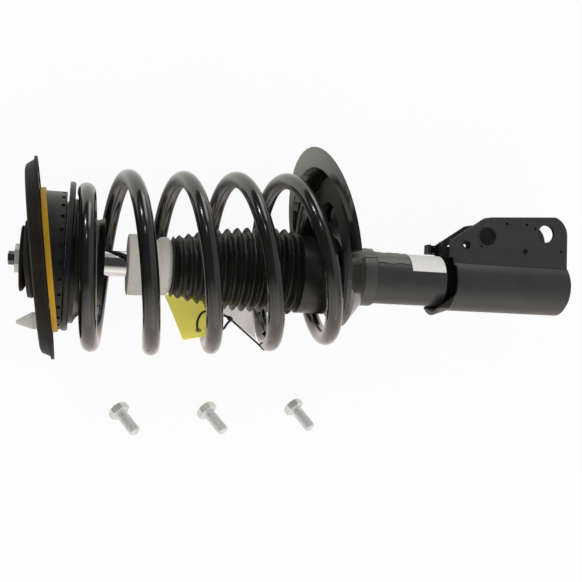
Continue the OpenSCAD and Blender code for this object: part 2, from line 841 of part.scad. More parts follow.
module weld_nuts() {
    color(bare_steel) at_mount_bolts() difference() {
        hex_bar(plate_t, weld_nut_h, weld_nut_af);
        bar(0, plate_t + weld_nut_h + cut, weld_bore_r);
    }
}

module bush_cup() {
    color(black_steel) on_mount() ring(plate_t, bearing_plate_x - plate_t, bush_r,
        bush_r + bush_cup_t);
}

module locating_pin() {
    color(cream) on_mount() translate([0, -pin_offset, 0]) turned() polygon([
        [0, -pin_h], [pin_tip_r, -pin_h + 0.4], [pin_r, -pin_collar_h - pin_land],
        [pin_r, -pin_collar_h], [pin_collar_r, -pin_collar_h], [pin_collar_r, 0], [pin_shank_r, 0],
        [pin_shank_r, plate_t + 1.5], [0, plate_t + 1.5]]);
}

// --- Strut bearing ---

module bearing_plate() {
    flange_in = housing_r / cos(mount_tilt) + plate_flange_gap;
    under = bearing_plate_x + bearing_plate_t;
    color(gold_zinc) on_mount() difference() {
        translate([0, -under * tan(mount_tilt), 0]) turned() polygon([
            [0, bearing_plate_x], [bearing_plate_r, bearing_plate_x],
            [bearing_plate_r, under + plate_flange_h], [flange_in, under + plate_flange_h],
            [flange_in, under], [0, under]]);
        bar(0, 2 * under, bush_r);
    }
}

module bearing_housing() {
    under = bearing_plate_x + bearing_plate_t;
    color(black_rubber) difference() {
        bar(-housing_r / 2, housing_end + housing_r / 2, housing_r);
        on_mount() bar(-2 * housing_r, 2 * housing_r + under, 2 * housing_r);
        bar(-housing_r, 2 * housing_r, housing_bore_r);
        ring(upper_race_x, race_h + cut, ball_circle_r - race_half_w, ball_circle_r + race_half_w);
        for (i = [0:window_count - 1])
            rotate([360 / window_count * (i + 0.5), 0, 0])
                translate([window_x - window_h / 2, housing_r - window_depth, -window_w / 2])
                    cube([window_h, window_depth + cut, window_w]);
    }
}

// Groove that the balls run in.
module ball_groove() {
    turned() translate([ball_circle_r, bearing_x]) circle(r = groove_r, $fn = 48);
}

module upper_race() {
    color(bare_steel) difference() {
        ring(upper_race_x, race_h, ball_circle_r - race_half_w, ball_circle_r + race_half_w);
        ball_groove();
    }
}

module lower_race() {
    color(bare_steel) difference() {
        ring(lower_race_x, race_h, ball_circle_r - race_half_w, ball_circle_r + race_half_w);
        ball_groove();
    }
}

module bearing_balls() {
    color(bare_steel) for (i = [0:ball_count - 1])
        rotate([360 / ball_count * i, 0, 0]) translate([bearing_x, ball_circle_r, 0])
            sphere(r = ball_r, $fn = 24);
}

module ball_cage() {
    color(cream) difference() {
        ring(bearing_x - cage_h / 2, cage_h, ball_circle_r - cage_half_w,
            ball_circle_r + cage_half_w);
        for (i = [0:ball_count - 1])
            rotate([360 / ball_count * i, 0, 0]) translate([0, ball_circle_r, 0])
                bar(bearing_x - cage_h, 2 * cage_h, ball_r);
    }
}

// --- Upper spring seat ---

// Leans and shifts its children with the seat's flange.
module on_flange() {
    translate([seat_flange_x, seat_flange_offset, 0]) rotate([0, 0, -seat_flange_tilt]) children();
}

module upper_spring_seat() {
    color(black_steel) difference() {
        union() {
            turned() polygon([
                [cup_r + 6, seat_x], [seat_ring_r, seat_x], [seat_ring_r, seat_ring_end],
                [seat_ring_r - 4, seat_ring_end + 2], [cup_r + cup_wall, cup_waist_x + 2],
                [cup_r + cup_wall, cup_end - 5], [cup_r + cup_wall + 2, cup_end],
                [cup_r + 1.5, cup_end], [cup_r - 0.5, cup_end - 5], [cup_r - 0.5, cup_waist_x]]);
            difference() {
                on_flange() bar(0, seat_flange_t, seat_flange_r);
                bar(0, 2 * tube_start, ball_circle_r);
            }
        }
        ring(seat_x - 4, race_h + 4, ball_circle_r - race_half_w, ball_circle_r + race_half_w);
    }
}

// The pad wraps round the flange's rim and lies between the flange and the spring's first turn.
module upper_spring_pad() {
    right = seat_flange_t + upper_pad_t;
    color(black_rubber) difference() {
        on_flange() difference() {
            turned() polygon([
                [0, 0], [seat_flange_r + upper_pad_lip - 0.5, 0],
                [seat_flange_r + upper_pad_lip, 0.6], [seat_flange_r + upper_pad_lip, right - 1.2],
                [seat_flange_r + upper_pad_lip - 1.2, right], [0, right]]);
            bar(-seat_flange_r, seat_flange_r + seat_flange_t, seat_flange_r);
        }
        bar(0, 2 * tube_start, pad_inner_r);
    }
}

// --- Mounting bolts ---

// A bolt rests on the lower edge of its head's top, with the shank raised.
module mounting_bolts() {
    color(zinc) for (s = bolt_spots)
        translate([s[0], s[1], bench_z]) rotate([0, 0, s[2]]) rotate([0, -bolt_lean, 0])
            translate([0, 0, bolt_af / 2]) {
                intersection() {
                    hex_bar(0, bolt_head_h, bolt_af);
                    turned() polygon([
                        [0, 0], [bolt_af / 2, 0], [bolt_af / 2 + 2, 1.2],
                        [bolt_af / 2 + 2, bolt_head_h], [0, bolt_head_h]]);
                }
                bar(bolt_head_h, bolt_len - bolt_tip_h, bolt_d / 2);
                along_damper() translate([0, 0, bolt_head_h + bolt_len - bolt_tip_h])
                    cylinder(r1 = bolt_d / 2, r2 = bolt_d / 2 - bolt_tip_h, h = bolt_tip_h);
            }
}

reservoir_tube();
tube_top_cap();
base_cap();
pressure_tube();
base_valve();
rod_guide();
guide_bush();
rod_seal();
lower_spring_seat();
seat_sleeve();
lower_spring_pad();
knuckle_bracket();
hose_bracket();
coil_spring();
bellows();
piston_rod();
piston();
piston_band();
piston_nut();
rebound_stop();
bump_stop();
jounce_washer();
bush_sleeve();
rubber_bush();
rebound_washer();
top_nut();
mount_plate();
weld_nuts();
bush_cup();
locating_pin();
bearing_plate();
bearing_housing();
upper_race();
bearing_balls();
ball_cage();
lower_race();
upper_spring_seat();
upper_spring_pad();
mounting_bolts();
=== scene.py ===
"""Looks of a front suspension strut assembly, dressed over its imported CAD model.

Lengths are in metres. X runs along the damper from the tower mount to the knuckle bracket, the
bracket's ears point along +Y, and Z is up from the bench that the strut lies on.
"""

from __future__ import annotations

import logging
import math
from dataclasses import dataclass, field, replace
from enum import Enum
from functools import cached_property
from typing import Any, Callable, Mapping, Sequence

import bmesh
import bpy
from mathutils import Matrix, Vector

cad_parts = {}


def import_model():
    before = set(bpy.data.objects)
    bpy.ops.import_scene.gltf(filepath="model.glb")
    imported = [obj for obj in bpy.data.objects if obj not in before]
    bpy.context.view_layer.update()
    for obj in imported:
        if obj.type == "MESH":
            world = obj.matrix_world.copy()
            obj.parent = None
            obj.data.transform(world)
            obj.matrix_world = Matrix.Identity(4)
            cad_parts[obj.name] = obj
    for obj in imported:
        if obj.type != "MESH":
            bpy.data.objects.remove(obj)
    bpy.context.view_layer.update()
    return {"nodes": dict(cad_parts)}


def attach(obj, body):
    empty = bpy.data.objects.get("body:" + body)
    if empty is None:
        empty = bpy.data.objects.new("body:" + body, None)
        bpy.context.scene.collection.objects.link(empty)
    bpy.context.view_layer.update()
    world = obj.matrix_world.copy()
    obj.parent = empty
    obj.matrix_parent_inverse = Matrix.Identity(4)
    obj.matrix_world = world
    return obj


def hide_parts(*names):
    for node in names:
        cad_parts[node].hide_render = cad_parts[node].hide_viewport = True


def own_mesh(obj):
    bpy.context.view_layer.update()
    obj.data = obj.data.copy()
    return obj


log = logging.getLogger("strut")

Object = bpy.types.Object
Material = bpy.types.Material
NodeTree = bpy.types.NodeTree
Point = tuple[float, float, float]
Spot = tuple[float, float]
Colour = tuple[float, float, float]

BENCH_Z = -0.086
TUBE_R = 0.0235
STROKE = 0.105
TURN = 2 * math.pi

WHITE: Colour = (1.0, 1.0, 1.0)
# Black of painted shade: dark pieces and patches set where only shade falls.
SHADE_BLACK: Colour = (0.0015, 0.0015, 0.0015)
BARE_STEEL: Colour = (0.3, 0.3, 0.3)
DUST_GREY: Colour = (0.32, 0.31, 0.29)


class Body(Enum):
    """The bodies that pieces ride on."""

    STRUT = "strut_body"
    MOUNT = "tower_mount"
    BOLTS = "loose_bolts"


class Slot(Enum):
    """The names of the material slots."""

    PAINT = "black_paint"
    STEEL = "plain_steel"
    BRONZE = "bronze"
    SPRING = "spring_coating"
    BELLOWS = "bellows_rubber"
    ZINC = "zinc_plate"
    FOAM = "bumper_foam"
    PALE = "pin_plastic"
    DARK = "housing_plastic"


# --- Shader nodes ---


class NodeSheet:
    """One shader tree, with short ways to place and join its nodes."""

    def __init__(self, tree: NodeTree) -> None:
        """Keeps the tree that the nodes go into, and empties it."""
        tree.nodes.clear()
        self.tree = tree

    def place(self, kind: str, inputs: Mapping[Any, Any] | None = None,
              **options: Any) -> bpy.types.Node:
        """Adds a node and fills its inputs.

        Args:
            kind: Blender's class name of the node.
            inputs: a value or a socket for each input, by name or by number.
            options: the node's own settings.

        Returns:
            The new node.
        """
        node = self.tree.nodes.new(kind)
        for name, value in options.items():
            setattr(node, name, value)
        for name, value in (inputs or {}).items():
            if isinstance(value, bpy.types.NodeSocket):
                self.tree.links.new(value, node.inputs[name])
            else:
                node.inputs[name].default_value = value
        return node

    def use(self, group: NodeTree, **values: Any) -> Any:
        """Places a shared group and gives its outputs."""
        return self.place("ShaderNodeGroup", values, node_tree=group).outputs

    def split(self, vector: Any) -> Any:
        """Gives a vector's X, Y and Z."""
        return self.place("ShaderNodeSeparateXYZ", {0: vector}).outputs

    def math(self, operation: str, a: Any, b: Any, clamp: bool = False) -> Any:
        """Works out one of Blender's sums, held within 0 and 1 where clamp is set."""
        options = {"operation": operation, "use_clamp": clamp}
        return self.place("ShaderNodeMath", {0: a, 1: b}, **options).outputs[0]

    def times(self, a: Any, b: Any, clamp: bool = False) -> Any:
        """Multiplies two values."""
        return self.math("MULTIPLY", a, b, clamp)

    def plus(self, a: Any, b: Any, clamp: bool = False) -> Any:
        """Adds two values."""
        return self.math("ADD", a, b, clamp)

    def mix(self, share: Any, *colours: Any) -> Any:
        """Mixes two colours, the second by its share."""
        ends = {6 + k: (*c, 1.0) if isinstance(c, tuple) else c for k, c in enumerate(colours)}
        return self.place("ShaderNodeMix", {0: share, **ends}, data_type="RGBA").outputs[2]

    def spread(self, value: Any, low: float, high: float, to_low: float = 0.0,
               to_high: float = 1.0) -> Any:
        """Carries a value from one range, low to high, to another and holds it there."""
        ends = {0: value, 1: low, 2: high, 3: to_low, 4: to_high}
        return self.place("ShaderNodeMapRange", ends).outputs[0]

    def noise(self, vector: Any, scale: Any, detail: float, rough: float = 0.5) -> Any:
        """Adds a noise of so many lumps in a metre and gives its grey value."""
        inputs = {"Vector": vector, "Scale": scale, "Detail": detail, "Roughness": rough}
        return self.place("ShaderNodeTexNoise", inputs).outputs["Fac"]


class Effects:
    """Shader groups that the finishes share. Each is built once, when it is first asked for."""

    @staticmethod
    def group(name: str, takes: Sequence[str], gives: Sequence[str]) -> tuple[NodeSheet, Any, Any]:
        """Starts a shader group.

        Args:
            name: the group's name.
            takes: the values that it takes beside Place, the point that is shaded.
            gives: the values that it gives.

        Returns:
            The group's sheet, the sockets that come in and the sockets that go out.
        """
        tree = bpy.data.node_groups.new(name, "ShaderNodeTree")
        tree.interface.new_socket(name="Place", in_out="INPUT", socket_type="NodeSocketVector")
        for way, labels in (("INPUT", takes), ("OUTPUT", gives)):
            for label in labels:
                tree.interface.new_socket(name=label, in_out=way, socket_type="NodeSocketFloat")
        sheet = NodeSheet(tree)
        start, end = sheet.place("NodeGroupInput"), sheet.place("NodeGroupOutput")
        return sheet, start.outputs, end.inputs

    @cached_property
    def edge_wear(self) -> NodeTree:
        """Builds the mask of rubbed edges.

        Returns:
            A group that takes Width and Breakup and gives Mask.
        """
        sheet, takes, gives = self.group("edge_wear", ["Width", "Breakup"], ["Mask"])
        rounded = sheet.place("ShaderNodeBevel", {"Radius": takes["Width"]}, samples=4)
        plain = sheet.place("ShaderNodeNewGeometry").outputs["Normal"]
        bend = sheet.place("ShaderNodeVectorMath", {0: rounded.outputs[0], 1: plain},
                           operation="DOT_PRODUCT").outputs["Value"]
        patches = sheet.noise(takes["Place"], scale=260.0, detail=4.0, rough=0.7)
        kept = sheet.math("SUBTRACT", patches, sheet.times(takes["Breakup"], 0.7))
        edge = sheet.spread(bend, 0.99, 0.80)
        chips = sheet.times(edge, sheet.spread(kept, 0.0, 0.14), clamp=True)
        sheet.tree.links.new(chips, gives["Mask"])
        return sheet.tree

    @cached_property
    def settled_dust(self) -> NodeTree:
        """Builds the mask of fine dust on what faces up.

        Returns:
            A group that gives Mask.
        """
        sheet, takes, gives = self.group("settled_dust", [], ["Mask"])
        normal = sheet.place("ShaderNodeNewGeometry").outputs["Normal"]
        facing = sheet.spread(sheet.split(normal)["Z"], 0.2, 0.95, to_low=0.15)
        lumps = sheet.noise(takes["Place"], scale=28.0, detail=5.0, rough=0.6)
        grit = sheet.noise(takes["Place"], scale=1900.0, detail=1.0)
        clouds = sheet.times(sheet.spread(lumps, 0.4, 0.72), 0.6)
        specks = sheet.spread(grit, 0.66, 0.74, to_high=0.6)
        both = sheet.plus(clouds, specks, clamp=True)
        sheet.tree.links.new(sheet.times(facing, both), gives["Mask"])
        return sheet.tree

    @cached_property
    def surface_grain(self) -> NodeTree:
        """Builds the small unevenness of a coating, a moulding or a casting.

        Returns:
            A group that takes Fine and Coarse, in lumps per metre, and gives Height and Mottle.
        """
        sheet, takes, gives = self.group("surface_grain", ["Fine", "Coarse"], ["Height", "Mottle"])
        fine = sheet.noise(takes["Place"], takes["Fine"], detail=2.0)
        coarse = sheet.noise(takes["Place"], takes["Coarse"], detail=4.0, rough=0.6)
        sheet.tree.links.new(sheet.plus(fine, sheet.times(coarse, 1.5)), gives["Height"])
        sheet.tree.links.new(sheet.spread(coarse, 0.3, 0.7), gives["Mottle"])
        return sheet.tree

    @cached_property
    def tool_lines(self) -> NodeTree:
        """Builds the fine rings that a lathe or a polisher leaves round the damper's axis.

        Returns:
            A group that takes Pitch, in rings per metre, and gives Height.
        """
        sheet, takes, gives = self.group("tool_lines", ["Pitch"], ["Height"])
        squeezed = sheet.place("ShaderNodeVectorMath", {0: takes["Place"], 1: (1.0, 0.02, 0.02)},
                               operation="MULTIPLY").outputs[0]
        lines = sheet.noise(squeezed, takes["Pitch"], detail=3.0, rough=0.7)
        sheet.tree.links.new(lines, gives["Height"])
        return sheet.tree


# --- Finishes ---


@dataclass(frozen=True)
class Finish:
    """One finish: its colours, its gloss, its grain, how it wears and any painted glow.

    Where given, the corner in X and Y past which the finish is painted matt black: what lies
    before that X and beyond that Y is a painted shade.
    """

    colour: Colour
    tint: Colour
    roughness: float = 0.5
    gloss_spread: float = 0.06
    metallic: float = 0.0
    fine: float = 900.0
    coarse: float = 60.0
    depth: float = 0.000015
    rounding: float = 0.0004
    wear: float = 0.0
    wear_width: float = 0.0009
    worn_metallic: float = 0.8
    dust: float = 0.0
    dullness: float = 0.5
    coat: float = 0.0
    coat_roughness: float = 0.06
    specular: float = 0.5
    lines: float = 0.0
    line_pitch: float = 4200.0
    subsurface: float = 0.0
    subsurface_reach: float = 0.002
    glow: float = 0.0
    # Painted shade: the X and Y past which the finish is painted matt black.
    mouth_shade: Spot | None = None

    def material(self, name: str, effects: Effects) -> Material:
        """Makes the finish's material.

        Args:
            name: the material's name.
            effects: the shader groups that the finishes share.

        Returns:
            The material.
        """
        made = bpy.data.materials.new(name)
        made.use_nodes = True
        sheet = NodeSheet(made.node_tree)
        place = sheet.place("ShaderNodeTexCoord").outputs["Object"]
        grain = sheet.use(effects.surface_grain, Place=place, Fine=self.fine, Coarse=self.coarse)
        colour = sheet.mix(grain["Mottle"], self.colour, self.tint)
        smoothest, dullest = self.roughness - self.gloss_spread, self.roughness + self.gloss_spread
        roughness = sheet.spread(grain["Mottle"], 0.0, 1.0, smoothest, dullest)
        metallic: Any = self.metallic
        if self.wear > 0:
            worn = sheet.use(effects.edge_wear, Place=place, Width=self.wear_width,
                             Breakup=1.0 - self.wear)["Mask"]
            colour = sheet.mix(worn, colour, BARE_STEEL)
            metallic = sheet.times(worn, self.worn_metallic)
        if self.dust > 0:
            dust = sheet.times(sheet.use(effects.settled_dust, Place=place)["Mask"], self.dust)
            colour = sheet.mix(dust, colour, DUST_GREY)
            roughness = sheet.plus(roughness, sheet.times(dust, self.dullness), clamp=True)
        # Painted shade: the bracket's wrap opening is painted matt black and dull, in place of the
        # shade that falls inside it.
        if self.mouth_shade:
            ways = sheet.split(place)
            matt = sheet.times(sheet.math("LESS_THAN", ways["X"], self.mouth_shade[0]),
                               sheet.math("GREATER_THAN", ways["Y"], self.mouth_shade[1]))
            colour = sheet.mix(matt, colour, SHADE_BLACK)
            roughness = sheet.plus(roughness, sheet.times(matt, self.dullness), clamp=True)
        height = sheet.times(grain["Height"], self.depth)
        if self.lines > 0:
            rings = sheet.use(effects.tool_lines, Place=place, Pitch=self.line_pitch)
            height = sheet.plus(height, sheet.times(rings["Height"], self.lines))
        rounded = sheet.place("ShaderNodeBevel", {"Radius": self.rounding}, samples=4).outputs[0]
        relief = {"Height": height, "Strength": 1.0, "Distance": 1.0, "Normal": rounded}
        shader = sheet.place("ShaderNodeBsdfPrincipled", {
            "Base Color": colour,
            "Metallic": metallic,
            "Roughness": roughness,
            "Normal": sheet.place("ShaderNodeBump", relief).outputs[0],
            "Specular IOR Level": self.specular,
            "Coat Weight": self.coat,
            "Coat Roughness": self.coat_roughness,
            "Subsurface Weight": self.subsurface,
            "Subsurface Scale": self.subsurface_reach,
            # Glow is painted light: an emission in the part's own colour that brightens it though
            # it is no lamp.
            "Emission Color": colour,
            "Emission Strength": self.glow,
        })
        sheet.place("ShaderNodeOutputMaterial", {"Surface": shader.outputs[0]})
        return made


class Coat(Enum):
    """The finishes by name."""

    SATIN_BLACK = Finish((0.027, 0.027, 0.027), (0.033, 0.033, 0.032), 0.38, 0.04,
                         depth=1.2e-5, rounding=0.0006, wear=0.05, dust=0.04, coat=0.12)
    # The bracket's satin paint, with painted shade in its wrap opening.
    BRACKET_BLACK = replace(SATIN_BLACK, mouth_shade=(0.3745, -0.0255))
    SLEEVE_OLIVE = Finish((0.05, 0.05, 0.045), (0.058, 0.058, 0.052), 0.34, 0.04,
                          depth=1.2e-5, rounding=0.0008, dust=0.04, coat=0.12)
    PAN_BLACK = Finish((0.013, 0.013, 0.01), (0.018, 0.018, 0.014), 0.18, 0.03,
                       depth=6e-6, rounding=0.0006, wear=0.04, dust=0.04, coat=0.5,
                       specular=0.65)
    # Painted shade: near black with almost no gloss, for the band and the discs set where only
    # shade falls.
    GAP_BLACK = Finish(SHADE_BLACK, (0.002, 0.002, 0.002), 0.8, specular=0.05)
    # Dark brown: partly the bare bore walls' own colour, partly painted shade in the ear's holes
    # and slot.
    BORE_BROWN = Finish((0.01, 0.008, 0.006), (0.018, 0.013, 0.009), specular=0.2)
    PLATE_BLACK = Finish((0.012, 0.01, 0.007), (0.02, 0.016, 0.011), rounding=0.0008,
                         wear=0.05, dust=0.03, specular=0.12)
    SPRING_BLACK = Finish((0.007, 0.007, 0.006), (0.01, 0.01, 0.009), 0.2, 0.03,
                          depth=5e-6, coat=0.8, specular=0.7)
    SEAT_BLACK = Finish((0.007, 0.007, 0.007), (0.01, 0.01, 0.01), 0.3, 0.04,
                        depth=1e-5, rounding=0.0006, specular=0.45)
    RUBBER_BLACK = Finish((0.012, 0.012, 0.012), (0.018, 0.018, 0.017), 0.55, fine=1500.0,
                          depth=2e-5, dust=0.04)
    BELLOWS_BLACK = Finish((0.008, 0.008, 0.007), (0.013, 0.013, 0.012), 0.3, fine=1200.0,
                           depth=1e-5, rounding=0.0002, dust=0.02)
    HOUSING_BLACK = Finish((0.008, 0.008, 0.007), (0.012, 0.012, 0.011), 0.34, fine=1600.0,
                           depth=1e-5, dust=0.03, specular=0.45)
    TIE_BLACK = Finish((0.01, 0.01, 0.01), (0.014, 0.014, 0.014), 0.4, depth=6e-6)
    HARD_CHROME = Finish((0.82, 0.82, 0.83), (0.78, 0.78, 0.8), 0.07, 0.02, metallic=1.0,
                         depth=0.0, lines=1.2e-6)
    BRIGHT_ZINC = Finish((0.78, 0.79, 0.79), (0.7, 0.71, 0.72), 0.34, 0.05, metallic=1.0,
                         coarse=150.0, depth=4e-6)
    # The bolts glow a little, a painted light.
    BOLT_ZINC = Finish((0.86, 0.88, 0.86), (0.72, 0.74, 0.72), 0.32, 0.05, metallic=0.45,
                       coarse=150.0, depth=4e-6, glow=0.05)
    NUT_ZINC = Finish((0.78, 0.8, 0.77), (0.64, 0.66, 0.63), 0.44, 0.05, metallic=0.6,
                      coarse=150.0, depth=4e-6)
    YELLOW_ZINC = Finish((0.78, 0.44, 0.02), (0.7, 0.4, 0.022), 0.48, 0.05, metallic=0.28,
                         coarse=110.0, depth=6e-6)
    GROUND_STEEL = Finish((0.5, 0.5, 0.5), (0.42, 0.42, 0.41), 0.28, metallic=1.0,
                          depth=0.0, lines=4e-6)
    DARK_STEEL = Finish((0.2, 0.19, 0.18), (0.12, 0.11, 0.11), 0.38, metallic=1.0,
                        coarse=200.0, depth=1e-5, lines=3e-6)
    SINTERED_STEEL = Finish((0.33, 0.32, 0.31), (0.26, 0.25, 0.24), metallic=1.0,
                            fine=2600.0, depth=4e-5)
    BUSH_BRONZE = Finish((0.5, 0.36, 0.18), (0.42, 0.29, 0.15), 0.36, metallic=1.0,
                         depth=1e-5)
    COPPER = Finish((0.55, 0.3, 0.18), (0.62, 0.45, 0.33), 0.3, metallic=1.0, coarse=300.0,
                    depth=4e-6)
    BAND_BROWN = Finish((0.16, 0.12, 0.08), (0.12, 0.09, 0.06))
    WHITE_FOAM = Finish((0.8, 0.755, 0.68), (0.74, 0.695, 0.62), 0.75, fine=2400.0,
                        coarse=140.0, depth=5e-5, rounding=0.001, subsurface=0.15)
    WHITE_NYLON = Finish((0.68, 0.66, 0.58), (0.62, 0.6, 0.53), 0.38, depth=1e-5,
                         subsurface=0.1)
    # The label glows a little, a painted light.
    WHITE_PAPER = Finish((0.88, 0.87, 0.84), (0.82, 0.81, 0.78), fine=2200.0, coarse=260.0,
                         depth=6e-6, glow=0.06)
    # The tag glows, a painted light that stands for light through the thin card.
    YELLOW_CARD = Finish((0.92, 0.83, 0.15), (0.86, 0.76, 0.13), 0.42, fine=1800.0,
                         coarse=90.0, depth=6e-6, glow=0.36)
    # The card glows, a painted light that stands for light through the thin card.
    PALE_CARD = Finish((0.9, 0.84, 0.8), (0.86, 0.8, 0.75), 0.35, coarse=120.0,
                       depth=1e-5, glow=0.45)
    OLIVE_FILM = Finish((0.078, 0.074, 0.056), (0.098, 0.092, 0.07), 0.3, coarse=220.0,
                        depth=2e-5, coat=0.2)
    # Painted highlight: the film's raised edge is coloured lighter than the film, for the light
    # that it catches.
    FILM_EDGE = Finish((0.17, 0.165, 0.125), (0.14, 0.135, 0.1), 0.24, coat=0.3)


class Paintbox:
    """The materials of all finishes, each made when it is first asked for."""

    def __init__(self) -> None:
        """Starts with no material made."""
        self.effects = Effects()
        self.made: dict[Coat, Material] = {}

    def get(self, coat: Coat) -> Material:
        """Gives a finish's material.

        Args:
            coat: the finish.

        Returns:
            The material.
        """
        if coat not in self.made:
            self.made[coat] = coat.value.material(coat.name.lower(), self.effects)
        return self.made[coat]


# --- Mesh shapes ---


def around(count: int) -> list[Spot]:
    """Gives the cosine and the sine of each of so many even steps round a circle."""
    return [(math.cos(TURN * k / count), math.sin(TURN * k / count)) for k in range(count)]


def upright(spot: Spot, section: Sequence[Spot], sides: int) -> list[list[Point]]:
    """Turns a section, given as heights and radii, round an upright axis through a spot."""
    return [[(spot[0] + r * c, spot[1] + r * s, z) for c, s in around(sides)] for z, r in section]


def smooth_line(knots: Sequence[Vector]) -> list[Vector]:
    """Runs a smooth line through points.

    Args:
        knots: the points.

    Returns:
        The line's points.
    """
    line, steps = [], 8
    for i in range(len(knots) - 1):
        a, b = knots[max(i - 1, 0)], knots[i]
        c, d = knots[i + 1], knots[min(i + 2, len(knots) - 1)]
        for j in range(steps):
            t = j / steps
            line.append(0.5 * (2 * b + (c - a) * t + (2 * a - 5 * b + 4 * c - d) * t**2
                               + (3 * b - a - 3 * c + d) * t**3))
    return line + [knots[-1]]


def soften(section: Sequence[Spot], radius: float) -> list[Spot]:
    """Rounds the corners of a closed section.

    Args:
        section: the section's corners.
        radius: how far from a corner the rounding starts.

    Returns:
        The rounded section.
    """
    made, steps = [], 4
    for i, corner in enumerate(section):
        here = Vector(corner)
        ways = [Vector(section[i - 1]) - here, Vector(section[(i + 1) % len(section)]) - here]
        reach = min(radius, 0.45 * min(way.length for way in ways))
        start, end = (here + way.normalized() * reach for way in ways)
        for j in range(steps + 1):
            t = j / steps
            made.append(tuple((1 - t) ** 2 * start + 2 * t * (1 - t) * here + t**2 * end))
    return made


class Shape:
    """Points and faces that grow into one mesh."""

    def __init__(self) -> None:
        """Starts empty."""
        self.points: list[Point] = []
        self.faces: list[tuple[int, ...]] = []

    def rings(self, loops: Sequence[Sequence[Point]], capped: bool = False,
              looped: bool = False) -> Shape:
        """Skins a row of closed loops that have the same number of points.

        Args:
            loops: the loops, in order.
            capped: whether the first and the last loop are filled.
            looped: whether the last loop joins the first.

        Returns:
            This shape.
        """
        first, count = len(self.points), len(loops[0])
        for loop in loops:
            self.points.extend(tuple(p) for p in loop)
        for i in range(len(loops) if looped else len(loops) - 1):
            a = first + i * count
            b = first + (i + 1) % len(loops) * count
            for k in range(count):
                n = (k + 1) % count
                self.faces.append((a + k, a + n, b + n, b + k))
        if capped:
            end = first + (len(loops) - 1) * count
            self.faces.append(tuple(first + k for k in reversed(range(count))))
            self.faces.append(tuple(end + k for k in range(count)))
        return self

    def tube(self, line: Sequence[Vector], radius: float, looped: bool = False) -> Shape:
        """Sweeps a round section along a line.

        Args:
            line: the middle line's points.
            radius: the tube's radius.
            looped: whether the line runs back to its start.

        Returns:
            This shape.
        """
        loops, count = [], len(line)
        side = Vector((0.0, 0.0, 1.0))
        for i, centre in enumerate(line):
            before = line[(i - 1) % count] if looped or i else centre
            after = line[(i + 1) % count] if looped or i < count - 1 else centre
            along = (after - before).normalized()
            side = (side - along * side.dot(along)).normalized()
            up = along.cross(side)
            loops.append([centre + radius * (c * side + s * up) for c, s in around(8)])
        return self.rings(loops, capped=not looped, looped=looped)

    def lathe(self, section: Sequence[Spot], sides: int = 96) -> Shape:
        """Turns a closed section, given as places in X and radii, round the damper's axis."""
        loops = [[(x, r * c, r * s) for c, s in around(sides)] for x, r in section]
        return self.rings(loops, looped=True)

    def slab(self, spot: Callable[[float, float], Vector], high: int, wide: int,
             thickness: float) -> Shape:
        """Lays a sheet of points and gives it a thickness.

        Args:
            spot: gives the sheet's point at a share of its rows and a share of its columns.
            high: how many rows there are.
            wide: how many columns there are.
            thickness: how thick the sheet is.

        Returns:
            This shape.
        """
        rows = [[spot(i / (high - 1), k / (wide - 1)) for k in range(wide)] for i in range(high)]
        first = len(self.points)
        for side in (0.5, -0.5):
            for i, row in enumerate(rows):
                for k, middle in enumerate(row):
                    across = row[min(k + 1, wide - 1)] - row[max(k - 1, 0)]
                    down = rows[min(i + 1, high - 1)][k] - rows[max(i - 1, 0)][k]
                    out = across.cross(down).normalized()
                    self.points.append(tuple(middle + side * thickness * out))
        back = first + high * wide
        for i in range(high - 1):
            for k in range(wide - 1):
                a = i * wide + k
                b = a + wide
                self.faces.append((first + a, first + a + 1, first + b + 1, first + b))
                self.faces.append((back + b, back + b + 1, back + a + 1, back + a))
        rim = list(range(wide)) + [i * wide + wide - 1 for i in range(1, high)]
        rim += [(high - 1) * wide + k for k in range(wide - 2, -1, -1)]
        rim += [i * wide for i in range(high - 2, 0, -1)]
        for a, b in zip(rim, rim[1:] + rim[:1]):
            self.faces.append((first + b, first + a, back + a, back + b))
        return self

    def piece(self, name: str, material: Material, smooth: float = 35.0,
              outward: bool = True) -> Object:
        """Makes the object.

        Args:
            name: the piece's name.
            material: its finish.
            smooth: widest angle between faces that shade as one surface, in degrees.
            outward: whether the faces are turned to point outward.

        Returns:
            The new object, linked into the scene.
        """
        mesh = bpy.data.meshes.new(name)
        mesh.from_pydata(self.points, [], self.faces)
        if outward:
            body = bmesh.new()
            body.from_mesh(mesh)
            bmesh.ops.recalc_face_normals(body, faces=body.faces)
            body.to_mesh(mesh)
            body.free()
        mesh.shade_smooth()
        mesh.set_sharp_from_angle(angle=math.radians(smooth))
        mesh.materials.append(material)
        made = bpy.data.objects.new(name, mesh)
        bpy.context.scene.collection.objects.link(made)
        return made


@dataclass
class Assembly:
    """Pieces that are built together and dressed from one paintbox."""

    paint: Paintbox
    made: list[Object] = field(default_factory=list, init=False)

    def add(self, shape: Shape, name: str, coat: Coat, slot: Slot, body: Body = Body.STRUT,
            smooth: float = 35.0) -> Object:
        """Makes a piece and puts it on its body.

        Args:
            shape: the piece's mesh, in place.
            name: the piece's name.
            coat: its finish.
            slot: not used.
            body: the body that it rides on.
            smooth: widest angle between faces that shade as one surface, in degrees.

        Returns:
            The piece.
        """
        piece = shape.piece(name, self.paint.get(coat), smooth)
        self.made.append(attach(piece, body.value))
        return piece

    def build(self) -> None:
        """Builds the pieces."""
        raise NotImplementedError


# --- Spring and bellows ---


